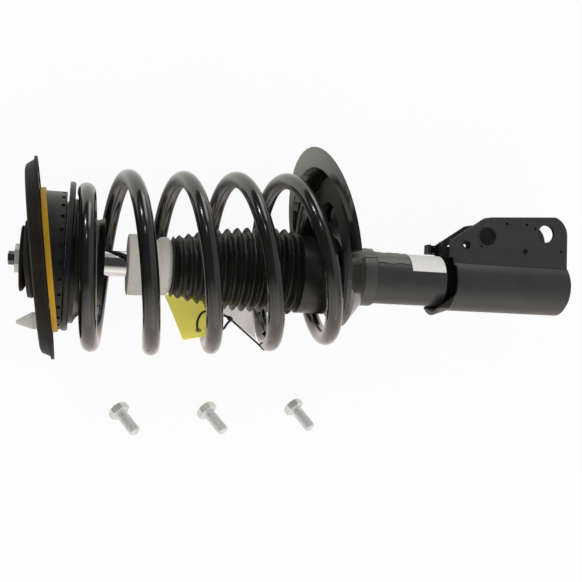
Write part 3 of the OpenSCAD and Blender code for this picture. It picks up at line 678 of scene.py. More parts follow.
@dataclass
class CoilSpring(Assembly):
    """The coil spring: both ends drawn in, the lower end leaning and standing off the damper."""

    wire_r: float = 0.0073
    coil_r: float = 0.0733
    turns: float = 4.9
    start_x: float = 0.041
    free_pitch: float = 0.0496
    end_pitch: float = 0.007
    top_dead: float = 0.37
    bottom_dead: float = 0.66
    bottom_rate: float = 5.9
    blend: float = 0.05
    top_tuck: float = 0.0138
    bottom_tuck: float = 0.0042
    tuck_turns: float = 1.9
    offset: float = 0.0152
    lean: float = math.radians(11.6)
    lean_growth: float = 1.6
    twist: float = math.radians(2.6)
    cut_chamfer: float = 0.0012
    cut_share: float = 0.86
    steps: int = 84
    sides: int = 28
    high: float = field(default=0.0, init=False)
    keep: float = field(default=1.0, init=False)

    def ramp(self, t: float) -> float:
        """Gives a slope that starts softly at zero."""
        return self.blend * math.log(1 + math.exp(t / self.blend))

    def rise(self, t: float) -> float:
        """Gives how far the wire has risen.

        Args:
            t: turns from the upper end.

        Returns:
            The rise in metres.
        """
        opening = self.free_pitch - self.end_pitch
        ending = self.free_pitch - self.end_pitch * self.bottom_rate
        return (self.end_pitch * t + opening * self.ramp(t - self.top_dead)
                - ending * self.ramp(t - self.turns + self.bottom_dead))

    def wire_at(self, t: float) -> Vector:
        """Gives a point of the wire's middle line.

        Args:
            t: turns from the upper end.

        Returns:
            The point in the row frame.
        """
        share = (max(0.0, t) / self.turns) ** self.lean_growth
        late = max(0.0, t - self.turns + self.tuck_turns) / self.tuck_turns
        r = self.coil_r - self.top_tuck * max(0.0, 1 - t) ** 2 - self.bottom_tuck * late**2
        a, lean = TURN * t, self.lean * share
        return Vector((
            self.start_x + self.rise(t) - math.sin(lean) * r * math.cos(a)
            + math.sin(self.twist) * min(1.0, t) * r * math.sin(a),
            self.offset * share + math.cos(lean) * r * math.cos(a),
            r * math.sin(a),
        ))

    def along(self, t: float, step: float = 0.0005) -> Vector:
        """Gives the wire's direction at a point."""
        return (self.wire_at(t + step) - self.wire_at(t - step)).normalized()

    def build(self) -> None:
        """Builds the wire, with its cut ends slightly rounded, and works out the share of its
        length that the stroke keeps.
        """
        count = round(self.turns * self.steps)
        ends = [(0.0, self.cut_share), (self.cut_chamfer / (TURN * self.coil_r), 1.0)]
        spots = ends + [(self.turns * i / count, 1.0) for i in range(1, count)]
        spots += [(self.turns - t, size) for t, size in reversed(ends)]
        loops = []
        for t, size in spots:
            centre, along = self.wire_at(t), self.along(t)
            side = along.cross(Vector((0.0, math.cos(TURN * t), math.sin(TURN * t)))).normalized()
            out = side.cross(along)
            loops.append([centre + self.wire_r * size * (c * out + s * side)
                          for c, s in around(self.sides)])
        made = self.add(Shape().rings(loops, capped=True), "spring_wire", Coat.SPRING_BLACK,
                        Slot.SPRING)
        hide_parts("coil_spring")
        reach = [v.co.x for v in made.data.vertices]
        self.high = max(reach)
        self.keep = 1 - STROKE / (self.high - min(reach))
        self.take_along(self.made)

    def take_along(self, pieces: Sequence[Object]) -> None:
        """Gives each piece its own copy of its mesh.

        Args:
            pieces: the pieces, final and riding on the strut's body.
        """
        for piece in pieces:
            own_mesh(piece)


@dataclass
class DustBellows(Assembly):
    """The rubber bellows: shallow folds at the neck, deep ones at the cuff, a little askew.

    A shape is the steps in X and in radius from the start, from the cuff or from the end.
    """

    start_x: float = 0.1164
    fold_x: float = 0.1184
    cuff_x: float = 0.227
    end_x: float = 0.264
    neck_r: float = 0.027
    neck_bore_r: float = 0.0184
    neck_shape: Sequence[Spot] = ((0.0, -0.0012), (0.0004, -0.0003))
    neck_fall: float = 0.002
    wide_r: float = 0.038
    cuff_r: float = 0.0355
    cuff_shape: Sequence[Spot] = ((0.002, 0.0), (0.012, -0.0004), (0.018, 0.0))
    end_shape: Sequence[Spot] = ((-0.003, 0.0), (-0.001, -0.0004), (0.0, -0.0014))
    wall: float = 0.0016
    foot: float = 0.004
    foot_gap: float = 0.0001
    folds: int = 13
    shallow: float = 0.0028
    deep: float = 0.0062
    fullness: float = 1.35
    widest: float = 0.7
    first_skew: float = -0.12
    skew_gain: float = 0.27
    skew_share: float = 0.6
    drift: float = 0.0035
    free_share: float = 0.98
    steps: int = 10
    sides: int = 80

    def crest(self, x: float) -> float:
        """Gives the crests' radius at a place along the damper."""
        s = min(1.0, (x - self.fold_x) / (self.widest * (self.cuff_x - self.fold_x)))
        return self.neck_r + (self.wide_r - self.neck_r) * math.sin(math.pi / 2 * max(0.0, s))

    def profile(self) -> list[Spot]:
        """Draws the wall's section.

        Returns:
            Place and radius of each point, round the section.
        """
        pitch = (self.cuff_x - self.fold_x) / self.folds
        outer = [(self.start_x + x, self.neck_r + r) for x, r in self.neck_shape]
        inner = [(self.start_x, self.neck_bore_r)]
        for i in range(self.folds * self.steps + 1):
            s = i / self.steps
            x = self.fold_x + s * pitch
            wave = 0.5 + 0.5 * math.cos(TURN * s)
            depth = self.shallow + (self.deep - self.shallow) * (s / self.folds)
            fold_r = self.crest(x) - depth * (1 - (1 - wave) ** self.fullness)
            fold_r = fold_r if i else self.neck_r - self.neck_fall
            outer.append((x, fold_r))
            inner.append((x, max(fold_r - self.wall, self.neck_bore_r)))
        outer += [(self.cuff_x + x, self.cuff_r + r) for x, r in self.cuff_shape]
        outer += [(self.end_x + x, self.cuff_r + r) for x, r in self.end_shape]
        bore, foot_x = self.cuff_r - self.wall, self.end_x - self.foot
        inner += [(self.cuff_x + self.cuff_shape[0][0], bore), (foot_x, bore),
                  (foot_x, TUBE_R + self.foot_gap), (self.end_x, TUBE_R + self.foot_gap)]
        return outer + inner[::-1]

    def build(self) -> None:
        """Builds the bellows and gives it its own mesh."""
        loops = []
        for x, r in self.profile():
            share = max(0.0, min(1.0, (x - self.fold_x) / (self.cuff_x - self.fold_x)))
            free = 0 < share < self.free_share
            fade = math.sin(math.pi * min(1.0, share * 1.02)) ** 0.5 if free else 0.0
            skew = (self.first_skew + self.skew_gain * share) * fade
            drift = self.drift * share**2 * fade
            loops.append([(x + skew * r * c * self.skew_share, drift + r * c, r * s)
                          for c, s in around(self.sides)])
        made = self.add(Shape().rings(loops, looped=True), "bellows_skin", Coat.BELLOWS_BLACK,
                        Slot.BELLOWS, smooth=60.0)
        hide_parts("bellows")
        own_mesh(made)


# --- Detail pieces ---


@dataclass
class BumpStop(Assembly):
    """The foam bump stop on the rod: a thick drum, a waist, a skirt and a tail in the bellows."""

    bore: float = 0.0111
    start_x: float = 0.0784
    drum_r: float = 0.0265
    skirt_r: float = 0.0255
    groove_x: float = 0.1024
    groove_depth: float = 0.0045
    groove_ends: Spot = (-0.003, 0.004)
    neck_x: float = 0.116
    neck_r: float = 0.018
    neck_h: float = 0.005
    shoulder: Spot = (0.004, 0.005)
    lip: float = 0.0016
    lip_h: float = 0.0015
    lip_slope: float = 0.0015
    tail_r: float = 0.017
    tail_taper: Spot = (0.006, 0.004)
    end_x: float = 0.135
    rounding: float = 0.0015

    def build(self) -> None:
        """Builds the bump stop."""
        neck_end, lip_r = self.neck_x + self.neck_h, self.neck_r + self.lip
        lip_end, groove_r = neck_end + self.lip_h, self.drum_r - self.groove_depth
        section = [
            (self.start_x, self.bore), (self.start_x, self.drum_r),
            (self.groove_x + self.groove_ends[0], self.drum_r), (self.groove_x, groove_r),
            (self.groove_x + self.groove_ends[1], self.skirt_r),
            (self.neck_x - self.shoulder[0], self.skirt_r),
            (self.neck_x, self.drum_r - self.shoulder[1]), (self.neck_x, self.neck_r),
            (neck_end, self.neck_r), (neck_end, lip_r), (lip_end, lip_r),
            (lip_end + self.lip_slope, self.tail_r),
            (self.end_x - self.tail_taper[0], self.tail_r),
            (self.end_x, self.tail_r - self.tail_taper[1]), (self.end_x, self.bore),
        ]
        made = self.add(Shape().lathe(soften(section, self.rounding)), "bump_stop_foam",
                        Coat.WHITE_FOAM, Slot.FOAM, Body.MOUNT)
        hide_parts("bump_stop")


@dataclass
class RodEnd(Assembly):
    """The dark steel end of the rod, which stands out of the nut: a thread and a hexagon key."""

    stud_r: float = 0.007
    stud_x: float = -0.0152
    nut_x: float = -0.0146
    wall: float = 0.002
    chamfer: Spot = (0.0002, 0.0008)
    key_x: float = -0.0202
    key_r: float = 0.00578
    key_chamfer: Spot = (0.0005, 0.0006)
    skin: float = 0.00006

    def build(self) -> None:
        """Builds the hexagon key and the first turn of the thread."""
        r, bore, face = self.key_r + self.skin, self.stud_r - self.wall, self.stud_x - self.skin
        spots = [(self.stud_x, r), (self.key_x + self.key_chamfer[0], r),
                 (self.key_x - self.skin, r - self.key_chamfer[1])]
        key = Shape().rings([[(x, size * c, size * s) for c, s in around(6)] for x, size in spots],
                            capped=True)
        thread = Shape().lathe([
            (self.nut_x, bore), (self.nut_x, self.stud_r),
            (self.stud_x + self.chamfer[0], self.stud_r), (face, self.stud_r - self.chamfer[1]),
            (face, bore)], 48)
        self.add(key, "rod_end_key", Coat.DARK_STEEL, Slot.STEEL, Body.MOUNT, 20.0)
        self.add(thread, "rod_end_thread", Coat.DARK_STEEL, Slot.STEEL, Body.MOUNT)


@dataclass
class BoltThreads(Assembly):
    """The rolled threads of the three loose bolts.

    Each spot is a bolt's X and Y and its heading in degrees; lean is how far each stands up.
    """

    spots: Sequence[Point] = (
        (0.083, -0.1332, -50.0), (0.1658, -0.1311, -51.0), (0.2519, -0.1263, -53.0))
    lean: float = 32.0
    head_rise: float = 0.0085
    head_h: float = 0.0064
    plain: float = 0.005
    shank_r: float = 0.005
    root: float = 0.00002
    crest: float = 0.00036
    threaded: float = 0.0188
    pitch: float = 0.0015
    sharpness: float = 1.3
    sides: int = 28
    steps: int = 6

    def winding(self, place: Matrix) -> list[list[Point]]:
        """Winds a screw thread round a shank.

        Args:
            place: where the thread starts, with its X along the shank.

        Returns:
            The thread's loops.
        """
        root, crest = self.shank_r + self.root, self.shank_r + self.crest
        count = round(self.threaded / self.pitch * self.steps)
        loops = []
        for i in range(count + 1):
            x = self.threaded * i / count
            fade = min(1.0, 2 * min(x, self.threaded - x) / self.pitch)
            loop = []
            for k, (c, s) in enumerate(around(self.sides)):
                wave = 1 - abs(2 * ((x / self.pitch - k / self.sides) % 1.0) - 1)
                r = root + (crest - root) * fade * min(1.0, self.sharpness * wave)
                loop.append(tuple(place @ Vector((x, r * c, r * s))))
            loops.append(loop)
        return loops

    def build(self) -> None:
        """Winds a thread round each shank."""
        for i, (x, y, heading) in enumerate(self.spots, 1):
            place = (Matrix.Translation((x, y, BENCH_Z))
                     @ Matrix.Rotation(math.radians(heading), 4, "Z")
                     @ Matrix.Rotation(math.radians(-self.lean), 4, "Y")
                     @ Matrix.Translation((self.head_h + self.plain, 0.0, self.head_rise)))
            self.add(Shape().rings(self.winding(place)), f"bolt_thread_{i}", Coat.BOLT_ZINC,
                     Slot.ZINC, Body.BOLTS)


@dataclass
class WeldBeads(Assembly):
    """The painted weld beads that hold the seat's collar and the bracket to the tube.

    Each bead has its name, its place in X, its radius round the tube and its own radius.
    """

    beads: Sequence[tuple[str, float, float, float]] = (
        ("seat_weld", 0.2996, 0.0244, 0.0013), ("bracket_weld", 0.4911, 0.0243, 0.0012))
    ripple: float = 0.0017
    ripple_steps: int = 6
    base: float = 0.90
    swell: float = 0.16
    wander: float = 0.05
    lobes: Spot = (5, 11)
    sides: int = 10

    def build(self) -> None:
        """Lays each bead round the tube, with the ripples of its puddles."""
        for name, x, ring_r, bead_r in self.beads:
            count, loops = round(TURN * ring_r / self.ripple) * self.ripple_steps, []
            for i, (c, s) in enumerate(around(count)):
                a, lap = TURN * i / count, (i / self.ripple_steps) % 1.0
                wander = self.wander * math.sin(self.lobes[0] * a) * math.sin(self.lobes[1] * a)
                r = bead_r * (self.base + self.swell * lap**1.5 + wander)
                loops.append([(x + r * v, (ring_r + r * w) * c, (ring_r + r * w) * s)
                              for v, w in around(self.sides)])
            self.add(Shape().rings(loops, looped=True), name, Coat.SATIN_BLACK, Slot.PAINT,
                     smooth=60.0)


@dataclass(frozen=True)
class Wrap:
    """A sheet stuck round the tube: its reach in X, and in degrees from the top."""

    along: Spot
    angles: Spot
    lift: float
    ruffle: float
    rows: int
    columns: int

    def spot(self, s: float, t: float) -> Vector:
        """Gives a point of the sheet.

        Args:
            s: share of its reach along the tube.
            t: share of its reach round it.

        Returns:
            The point.
        """
        (x0, x1), (a0, a1) = self.along, self.angles
        a = math.radians(a0 + (a1 - a0) * t)
        wave = 0.5 + 0.5 * math.sin(17 * s + 3 * math.sin(4 * t)) * math.cos(5 * s + 2 * t)
        r = TUBE_R + self.lift + self.ruffle * t**1.5 * wave
        return Vector((x0 + (x1 - x0) * s, r * math.sin(a), r * math.cos(a)))


@dataclass
class TubeWraps(Assembly):
    """The bare white label and the dark, ruffled film that are stuck round the damper's tube."""

    label: Wrap = Wrap((0.3335, 0.3662), (16.0, 118.0), 0.00014, 0.0, 24, 30)
    label_h: float = 0.00012
    film: Wrap = Wrap((0.2998, 0.3322), (33.0, 112.0), 0.0003, 0.0011, 60, 40)
    sleeve_film: Wrap = Wrap((0.2872, 0.2988), (40.0, 112.0), 0.0030, 0.0012, 30, 40)
    film_h: float = 0.0003
    edge_r: float = 0.00045
    edge_lift: float = 0.0005
    edge_sway: float = 1.5
    edge_ripple: float = 0.35
    edge_steps: int = 30

    def build(self) -> None:
        """Builds the label and the film, with the film's raised lower edge, coloured lighter as a
        painted highlight.
        """
        label = Shape().slab(self.label.spot, self.label.rows, self.label.columns, self.label_h)
        film = Shape()
        for wrap in (self.film, self.sleeve_film):
            film.slab(wrap.spot, wrap.rows, wrap.columns, self.film_h)
        (x0, x1), r, edge = self.film.along, TUBE_R + self.edge_lift, []
        for i in range(self.edge_steps + 1):
            a = math.radians(self.film.angles[0] + self.edge_sway * math.sin(i * self.edge_ripple))
            x = x0 + (x1 - x0) * i / self.edge_steps
            edge.append(Vector((x, r * math.sin(a), r * math.cos(a))))
        self.add(label, "tube_label", Coat.WHITE_PAPER, Slot.PALE)
        self.add(film, "tube_film", Coat.OLIVE_FILM, Slot.DARK)
        self.add(Shape().tube(edge, self.edge_r), "tube_film_edge", Coat.FILM_EDGE, Slot.DARK)


@dataclass
class BracketTrim(Assembly):
    """Painted shade at the bracket's wrap opening and in the holes of its near ear, with a raised
    ring round the threaded hole.

    A band is two places in X and a radius, a hole is its middle in X and Y, and the ear and the
    hose hole's black disc are a lower and an upper height.
    """

    band: Point = (0.3668, 0.3759, 0.0239)
    band_slope: float = 0.0002
    ear: Spot = (0.0171, 0.0204)
    threaded: Spot = (0.4076, 0.0431)
    plain: Spot = (0.4681, 0.04935)
    hole_r: float = 0.00848
    bore_r: float = 0.0068
    thread_h: float = 0.0004
    thread_steps: int = 8
    lip_r: float = 0.0105
    lip_h: float = 0.0003
    lip_slopes: Spot = (0.0003, 0.0006)
    lining: float = 0.0002
    gauge_holes: Sequence[Spot] = (
        (0.4273, 0.0563), (0.4478, 0.0568), (0.4566, 0.0533), (0.484, 0.0333))
    gauge_r: float = 0.00115
    shade_disc_h: float = 0.0006
    slot_hole: Spot = (0.3866, 0.034)
    slot_r: float = 0.00388
    slot_sight: Spot = (0.3855, 0.0332)
    sight_r: float = 0.0016
    shade_h: float = 0.0008
    hose_hole: Spot = (0.3695, 0.032)
    hose_r: float = 0.0031
    hose_shade_disc: Spot = (-0.0237, -0.0205)
    sides: int = 48
    small_sides: int = 32

    def ring(self, spot: Spot, section: Sequence[Spot]) -> Shape:
        """Turns a section round a hole of the ear."""
        return Shape().rings(upright(spot, section, self.sides), looped=True)

    def build(self) -> None:
        """Builds the plugs, the shade, the band and the rings."""
        x0, x1, band_r = self.band
        low, high = self.ear
        r, top, shade = self.hole_r, high + self.lip_h, low + self.shade_h
        shade_discs, small = Shape(), self.small_sides
        # Painted shade: black discs deep in the small holes and in the hose hole, where the view
        # through them falls into shade.
        for hole in self.gauge_holes:
            ends = [(low, self.gauge_r), (low + self.shade_disc_h, self.gauge_r)]
            shade_discs.rings(upright(hole, ends, small), capped=True)
        ends = [(z, self.hose_r) for z in self.hose_shade_disc]
        shade_discs.rings(upright(self.hose_hole, ends, small), capped=True)
        slot = upright(self.slot_hole, [(low, self.slot_r), (shade, self.slot_r)], small)
        slot += upright(self.slot_sight, [(shade, self.sight_r), (low, self.sight_r)], small)
        band = [(x0, TUBE_R), (x0 + self.band_slope, band_r), (x1, band_r), (x1, TUBE_R)]
        steps = [(low + (high - low) * i / self.thread_steps,
                  self.bore_r + self.thread_h * (i % 2)) for i in range(self.thread_steps + 1)]
        lip = [(high, r), (top, r + self.lip_slopes[0]), (top, self.lip_r - self.lip_slopes[1]),
               (high, self.lip_r)]
        wall = [(high, r), (low, r), (low, r - self.lining), (high, r - self.lining)]
        # The black band, the black discs and the dark cover over the slot are painted shade. The
        # dark brown liners of the big holes are partly the bare bores' own colour and partly
        # painted shade.
        for name, shape, coat in (
            ("hole_plugs", shade_discs, Coat.GAP_BLACK),
            ("ear_shade", Shape().rings(slot, looped=True), Coat.BORE_BROWN),
            ("mouth_band", Shape().lathe(band), Coat.GAP_BLACK),
            ("ear_thread", self.ring(self.threaded, [(high, r), (low, r), *steps]),
             Coat.BORE_BROWN),
            ("ear_lip", self.ring(self.threaded, lip), Coat.SATIN_BLACK),
            ("ear_bore", self.ring(self.plain, wall), Coat.BORE_BROWN),
        ):
            self.add(shape, name, coat, Slot.PAINT)


@dataclass
class HangTag(Assembly):
    """The bare yellow tag that hangs in a black loop, which runs behind a turn of the spring."""

    spring: CoilSpring
    low_left: Point = (0.1297, -0.0637, 0.0)
    low_right: Point = (0.159, -0.0584, 0.006)
    high_left: Point = (0.1173, -0.0222, -0.054)
    rows: int = 14
    columns: int = 10
    thickness: float = 0.0005
    bow: Spot = (0.0015, 0.0006)
    eyelet: Spot = (0.127, 0.525)
    eyelet_r: float = 0.0021
    eyelet_wire_r: float = 0.0006
    loop: Sequence[Point] = (
        (0.1414, -0.0519, 0.002), (0.1411, -0.0459, 0.006), (0.1435, -0.0402, 0.01),
        (0.1478, -0.0379, 0.013), (0.1543, -0.0382, 0.016), (0.1602, -0.0406, 0.018),
        (0.167, -0.0441, 0.02), (0.1645, -0.0491, 0.018), (0.1617, -0.0535, 0.015),
        (0.1564, -0.0566, 0.008), (0.15, -0.0581, -0.002))
    loop_r: float = 0.0011

    def spot(self, t: float, s: float) -> Vector:
        """Gives a point of the tag's middle sheet, which bows a little.

        Args:
            t: share of its length, from the low end.
            s: share of its width, from the left.

        Returns:
            The point.
        """
        corner, right, top = (Vector(p) for p in (self.low_left, self.low_right, self.high_left))
        across, up = right - corner, top - corner
        bend = self.bow[0] * math.sin(math.pi * t) + self.bow[1] * math.sin(math.pi * s)
        return corner + across * s + up * t + across.cross(up).normalized() * bend

    def build(self) -> None:
        """Builds the tag, its eyelet and its loop."""
        hole, corner = self.spot(*self.eyelet), self.spot(0, 0)
        across = (self.spot(0, 1) - corner).normalized()
        rise = (self.spot(1, 0) - corner).normalized()
        lift = self.eyelet_wire_r * across.cross(rise).normalized()
        ring = [hole + self.eyelet_r * (c * across + s * rise) for c, s in around(24)]
        knots = [hole + lift, *(Vector(p) for p in self.loop), hole - lift]
        self.add(Shape().slab(self.spot, self.rows, self.columns, self.thickness), "hang_tag",
                 Coat.YELLOW_CARD, Slot.PALE)
        self.add(Shape().tube(ring, self.eyelet_wire_r, looped=True), "hang_tag_eyelet",
                 Coat.COPPER, Slot.BRONZE)
        self.add(Shape().tube(smooth_line(knots), self.loop_r), "hang_tag_loop",
                 Coat.TIE_BLACK, Slot.DARK)
        self.spring.take_along(self.made)


@dataclass
class SpringTie(Assembly):
    """The nylon tie that is drawn from one turn of the spring to the next, with its bare card.

    The strap ends on the wire at a number of turns, wound through angles from where it arrives.
    """

    spring: CoilSpring
    ends_at: float = 3.535
    angles: Sequence[float] = (-60, -100, -150, -200, -250, -300, -340)
    strap_r: float = 0.0009
    head: Point = (0.167, -0.0441, 0.02)
    head_half: Spot = (0.0019, 0.0016)
    head_sizes: Sequence[Spot] = (
        (-0.0024, 0.6), (-0.0018, 1.0), (0.0018, 1.0), (0.0024, 0.6))
    head_corners: Sequence[Spot] = (
        (1, 0.6), (0.6, 1), (-0.6, 1), (-1, 0.6), (-1, -0.6), (-0.6, -1), (0.6, -1), (1, -0.6))
    card: Sequence[Point] = (
        (0.1647, -0.0395, 0.002), (0.2030, -0.0606, -0.040),
        (0.1984, -0.0258, -0.052), (0.1689, -0.0260, -0.037))
    card_bow: float = 0.002
    card_h: float = 0.0003
    card_rows: int = 8
    card_columns: int = 10

    def round_wire(self, towards: Vector) -> list[Vector]:
        """Runs the strap's end round a turn of the spring.

        Args:
            towards: the point that the strap comes from.

        Returns:
            The strap's points.
        """
        centre, along = self.spring.wire_at(self.ends_at), self.spring.along(self.ends_at)
        near = towards - centre
        near = (near - along * near.dot(along)).normalized()
        beside = along.cross(near)
        reach = self.spring.wire_r + self.strap_r
        ways = ((math.cos(math.radians(d)), math.sin(math.radians(d))) for d in self.angles)
        return [centre + reach * (c * near + s * beside) for c, s in ways]

    def card_spot(self, t: float, s: float) -> Vector:
        """Gives a point of the card, which bows a little.

        Args:
            t: share of its height.
            s: share of its width.

        Returns:
            The point.
        """
        a, b, c, d = (Vector(p) for p in self.card)
        bow = Vector((0.0, 0.0, self.card_bow * math.sin(math.pi * s)))
        return (a * (1 - s) + b * s) * (1 - t) + (d * (1 - s) + c * s) * t + bow

    def build(self) -> None:
        """Builds the strap, its head and the card."""
        head = Vector(self.head)
        end = self.round_wire(head)
        side = (end[0] - head).normalized()
        up = side.cross(Vector((0.0, 0.0, 1.0))).normalized()
        high, wide = self.head_half[0] * up, self.head_half[1] * side.cross(up)
        block = [[head + side * x + size * (v * high + w * wide) for v, w in self.head_corners]
                 for x, size in self.head_sizes]
        card = Shape().slab(self.card_spot, self.card_rows, self.card_columns, self.card_h)
        self.add(Shape().tube(smooth_line([head] + end), self.strap_r), "spring_tie",
                 Coat.TIE_BLACK, Slot.DARK)
        self.add(Shape().rings(block, capped=True), "spring_tie_head", Coat.TIE_BLACK, Slot.DARK)
        self.add(card, "spring_tie_card", Coat.PALE_CARD, Slot.PALE)
        self.spring.take_along(self.made)


# --- CAD pieces ---


@dataclass
class CadDresser:
    """Dresses the CAD nodes, also those that stand only for a finer piece."""

    paint: Paintbox
    coats: Mapping[Coat, str] = field(default_factory=lambda: {
        Coat.SATIN_BLACK: "reservoir_tube tube_top_cap base_cap hose_bracket",
        Coat.BRACKET_BLACK: "knuckle_bracket",
        Coat.SLEEVE_OLIVE: "seat_sleeve",
        Coat.PAN_BLACK: "lower_spring_seat",
        Coat.PLATE_BLACK: "mount_plate rebound_washer bush_cup",
        Coat.SPRING_BLACK: "coil_spring",
        Coat.SEAT_BLACK: "upper_spring_seat upper_spring_pad",
        Coat.RUBBER_BLACK: "lower_spring_pad rubber_bush rod_seal rebound_stop",
        Coat.BELLOWS_BLACK: "bellows",
        Coat.HOUSING_BLACK: "bearing_housing",
        Coat.HARD_CHROME: "piston_rod",
        Coat.BRIGHT_ZINC: "weld_nuts jounce_washer piston_nut",
        Coat.BOLT_ZINC: "mounting_bolts",
        Coat.NUT_ZINC: "top_nut",
        Coat.YELLOW_ZINC: "bearing_plate",
        Coat.GROUND_STEEL: "pressure_tube bush_sleeve upper_race lower_race bearing_balls",
        Coat.SINTERED_STEEL: "base_valve rod_guide piston",
        Coat.BUSH_BRONZE: "guide_bush",
        Coat.BAND_BROWN: "piston_band",
        Coat.WHITE_FOAM: "bump_stop",
        Coat.WHITE_NYLON: "locating_pin ball_cage",
    })

    def dress(self, nodes: Mapping[str, Object]) -> None:
        """Gives every CAD node its material.

        Args:
            nodes: the frame's nodes by name.
        """
        for coat, names in self.coats.items():
            for name in names.split():
                nodes[name].data.materials.clear()
                nodes[name].data.materials.append(self.paint.get(coat))


# --- Studio ---


@dataclass(frozen=True)
class Lamp:
    """One softbox: where it hangs, its two sides, its power in watts and the point it faces."""

    name: str
    place: Point
    size: Spot
    power: float
    aim: Point = (0.1, 0.0, 0.0)
    shines: bool = True

    def hang(self) -> None:
        """Hangs the lamp. Where it doesn't shine, it stays out of what is glossy."""
        data = bpy.data.lights.new(self.name, "AREA")
        data.shape, data.energy = "RECTANGLE", self.power
        data.size, data.size_y = self.size
        made = bpy.data.objects.new(self.name, data)
        bpy.context.scene.collection.objects.link(made)
        made.location, made.visible_glossy = self.place, self.shines
        ahead = Vector(self.aim) - Vector(self.place)
        made.rotation_euler = ahead.to_track_quat("-Z", "Y").to_euler()


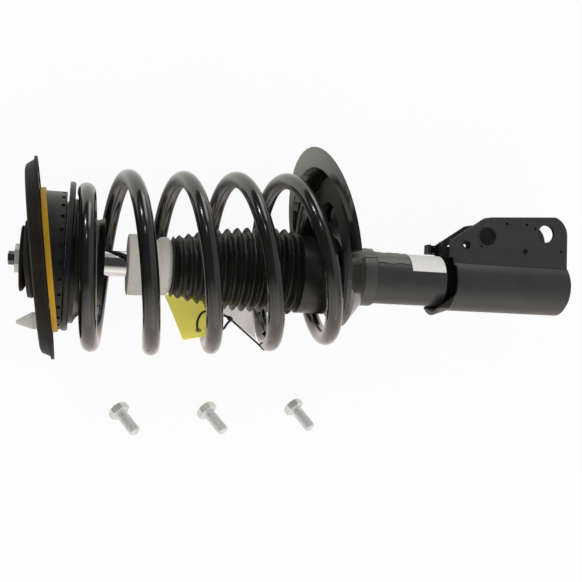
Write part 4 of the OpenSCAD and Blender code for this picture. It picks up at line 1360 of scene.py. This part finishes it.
@dataclass
class Studio:
    """A pale floor, soft lights and the camera.

    What is glossy sees a floor with a painted shadow in a band of Y under the strut, and a world
    with a wall on the right, a window at the far side and a pale near side. A span is where a
    change starts and ends.
    """

    camera_place: Point = (0.031808, -0.069844, 0.787969)
    looks_along: Point = (0.23800903, 0.0662739, -0.96899921)
    roll: float = math.radians(2.0)
    sensor_mm: float = 36.0
    focal_mm: float = 900.0 / 582.0 * 36.0
    clip: Spot = (0.05, 20.0)
    floor_size: float = 6.0
    floor_gap: float = 0.0002
    floor_white: float = 0.93
    floor_matt: Colour = (0.88, 0.88, 0.88)
    floor_shine: Colour = (0.88, 0.79, 0.74)
    floor_shade: Colour = (0.22, 0.21, 0.20)
    floor_far: Colour = (0.85, 0.85, 0.78)
    shade_span: Spot = (0.0, 0.045)
    far_span: Spot = (0.07, 0.12)
    left_side: float = 0.05
    right_side: float = 0.34
    side_span: Spot = (0.08, 0.34)
    near_side: float = 1.05
    near_tint: Colour = (1.0, 0.96, 0.85)
    near_span: Spot = (-0.45, -1.0)
    far_window: float = 2.5
    window_left: Spot = (0.02, 0.16)
    window_right: Spot = (0.50, 0.28)
    window_far: Spot = (0.72, 0.80)
    soft_light: float = 0.60
    lamps: Sequence[Lamp] = (
        Lamp("high_lamp", (-0.32, 0.74, 1.10), (0.16, 0.12), 0.4),
        Lamp("low_lamp", (-0.56, 1.02, 0.66), (0.16, 0.14), 1.6),
        Lamp("fill_softbox", (0.5, -1.0, 1.2), (1.6, 1.2), 9.0, (0.25, 0.0, 0.0), False),
    )

    def camera(self) -> None:
        """Sets the camera."""
        ahead = Vector(self.looks_along).normalized()
        level = ahead.cross(Vector((0.0, 1.0, 0.0))).normalized()
        above = level.cross(ahead)
        right = math.cos(self.roll) * level + math.sin(self.roll) * above
        up = math.cos(self.roll) * above - math.sin(self.roll) * level
        data = bpy.data.cameras.new("camera")
        data.sensor_width, data.lens = self.sensor_mm, self.focal_mm
        data.clip_start, data.clip_end = self.clip
        made = bpy.data.objects.new("camera", data)
        bpy.context.scene.collection.objects.link(made)
        turn = Matrix((right, up, -ahead)).transposed()
        made.matrix_world = Matrix.Translation(Vector(self.camera_place)) @ turn.to_4x4()
        bpy.context.scene.camera = made

    def floor(self) -> None:
        """Lays the floor: white to the camera, with a faint shadow kept."""
        made = bpy.data.materials.new("floor_white")
        made.use_nodes = True
        sheet = NodeSheet(made.node_tree)
        rays = sheet.place("ShaderNodeLightPath").outputs
        camera, glossy = rays["Is Camera Ray"], rays["Is Glossy Ray"]
        matt = sheet.place("ShaderNodeBsdfDiffuse", {"Color": (*self.floor_matt, 1.0)}).outputs[0]
        y = sheet.split(sheet.place("ShaderNodeTexCoord").outputs["Object"])["Y"]
        # Painted shadow: for glossy rays the floor darkens to floor_shade in a band under the
        # strut, is warm beyond it on the near side and tinted at the far side.
        near = sheet.mix(sheet.spread(y, *self.shade_span), self.floor_shine, self.floor_shade)
        shine = sheet.mix(glossy, WHITE, sheet.mix(sheet.spread(y, *self.far_span), near,
                                                   self.floor_far))
        glow = sheet.place("ShaderNodeEmission", {"Color": shine, "Strength": 1.0}).outputs[0]
        share = sheet.math("MAXIMUM", sheet.times(camera, self.floor_white), glossy)
        both = sheet.place("ShaderNodeMixShader", {0: share, 1: matt, 2: glow}).outputs[0]
        sheet.place("ShaderNodeOutputMaterial", {"Surface": both})
        half, z = self.floor_size / 2, BENCH_Z - self.floor_gap
        shape = Shape()
        shape.points = [(-half, -half, z), (half, -half, z), (half, half, z), (-half, half, z)]
        shape.faces = [(0, 1, 2, 3)]
        plane = shape.piece("floor", made, outward=False)

    def surroundings(self) -> None:
        """Makes the world: walls, a window and a near side for what is glossy, and soft light."""
        world = bpy.data.worlds.new("studio")
        world.use_nodes = True
        sheet = NodeSheet(world.node_tree)
        rays = sheet.place("ShaderNodeLightPath").outputs
        glossy = rays["Is Glossy Ray"]
        ways = sheet.split(sheet.place("ShaderNodeTexCoord").outputs["Generated"])
        walls = sheet.spread(ways["X"], *self.side_span, self.left_side, self.right_side)
        near = sheet.spread(ways["Y"], *self.near_span)
        window = sheet.times(sheet.spread(ways["X"], *self.window_left, 0.0, self.far_window),
                             sheet.spread(ways["X"], *self.window_right))
        window = sheet.times(window, sheet.spread(ways["Y"], *self.window_far))
        shine = sheet.plus(sheet.plus(walls, sheet.times(near, self.near_side)), window)
        soft = sheet.times(sheet.math("SUBTRACT", 1.0, glossy), self.soft_light)
        strength = sheet.plus(sheet.times(glossy, shine), soft)
        strength = sheet.math("MAXIMUM", strength, rays["Is Camera Ray"])
        tint = sheet.mix(sheet.times(glossy, near), WHITE, self.near_tint)
        back = sheet.place("ShaderNodeBackground", {"Color": tint, "Strength": strength})
        sheet.place("ShaderNodeOutputWorld", {"Surface": back.outputs[0]})
        bpy.context.scene.world = world

    def build(self) -> None:
        """Builds the camera, the floor, the world and the lamps."""
        self.camera()
        self.floor()
        self.surroundings()
        for lamp in self.lamps:
            lamp.hang()
        bpy.context.scene.view_settings.view_transform = "Standard"


def main() -> None:
    """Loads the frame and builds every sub-assembly in order."""
    logging.basicConfig(level=logging.INFO, format="%(name)s: %(message)s")
    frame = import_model()
    paint = Paintbox()
    CadDresser(paint).dress(frame["nodes"])
    spring = CoilSpring(paint)
    for part in (spring, DustBellows(paint), BumpStop(paint), RodEnd(paint), BoltThreads(paint),
                 WeldBeads(paint), TubeWraps(paint), BracketTrim(paint), HangTag(paint, spring),
                 SpringTie(paint, spring)):
        part.build()
        for piece in part.made:
            log.info("%s: %d faces", piece.name, len(piece.data.polygons))
    Studio().build()


if __name__ == "__main__":
    main()
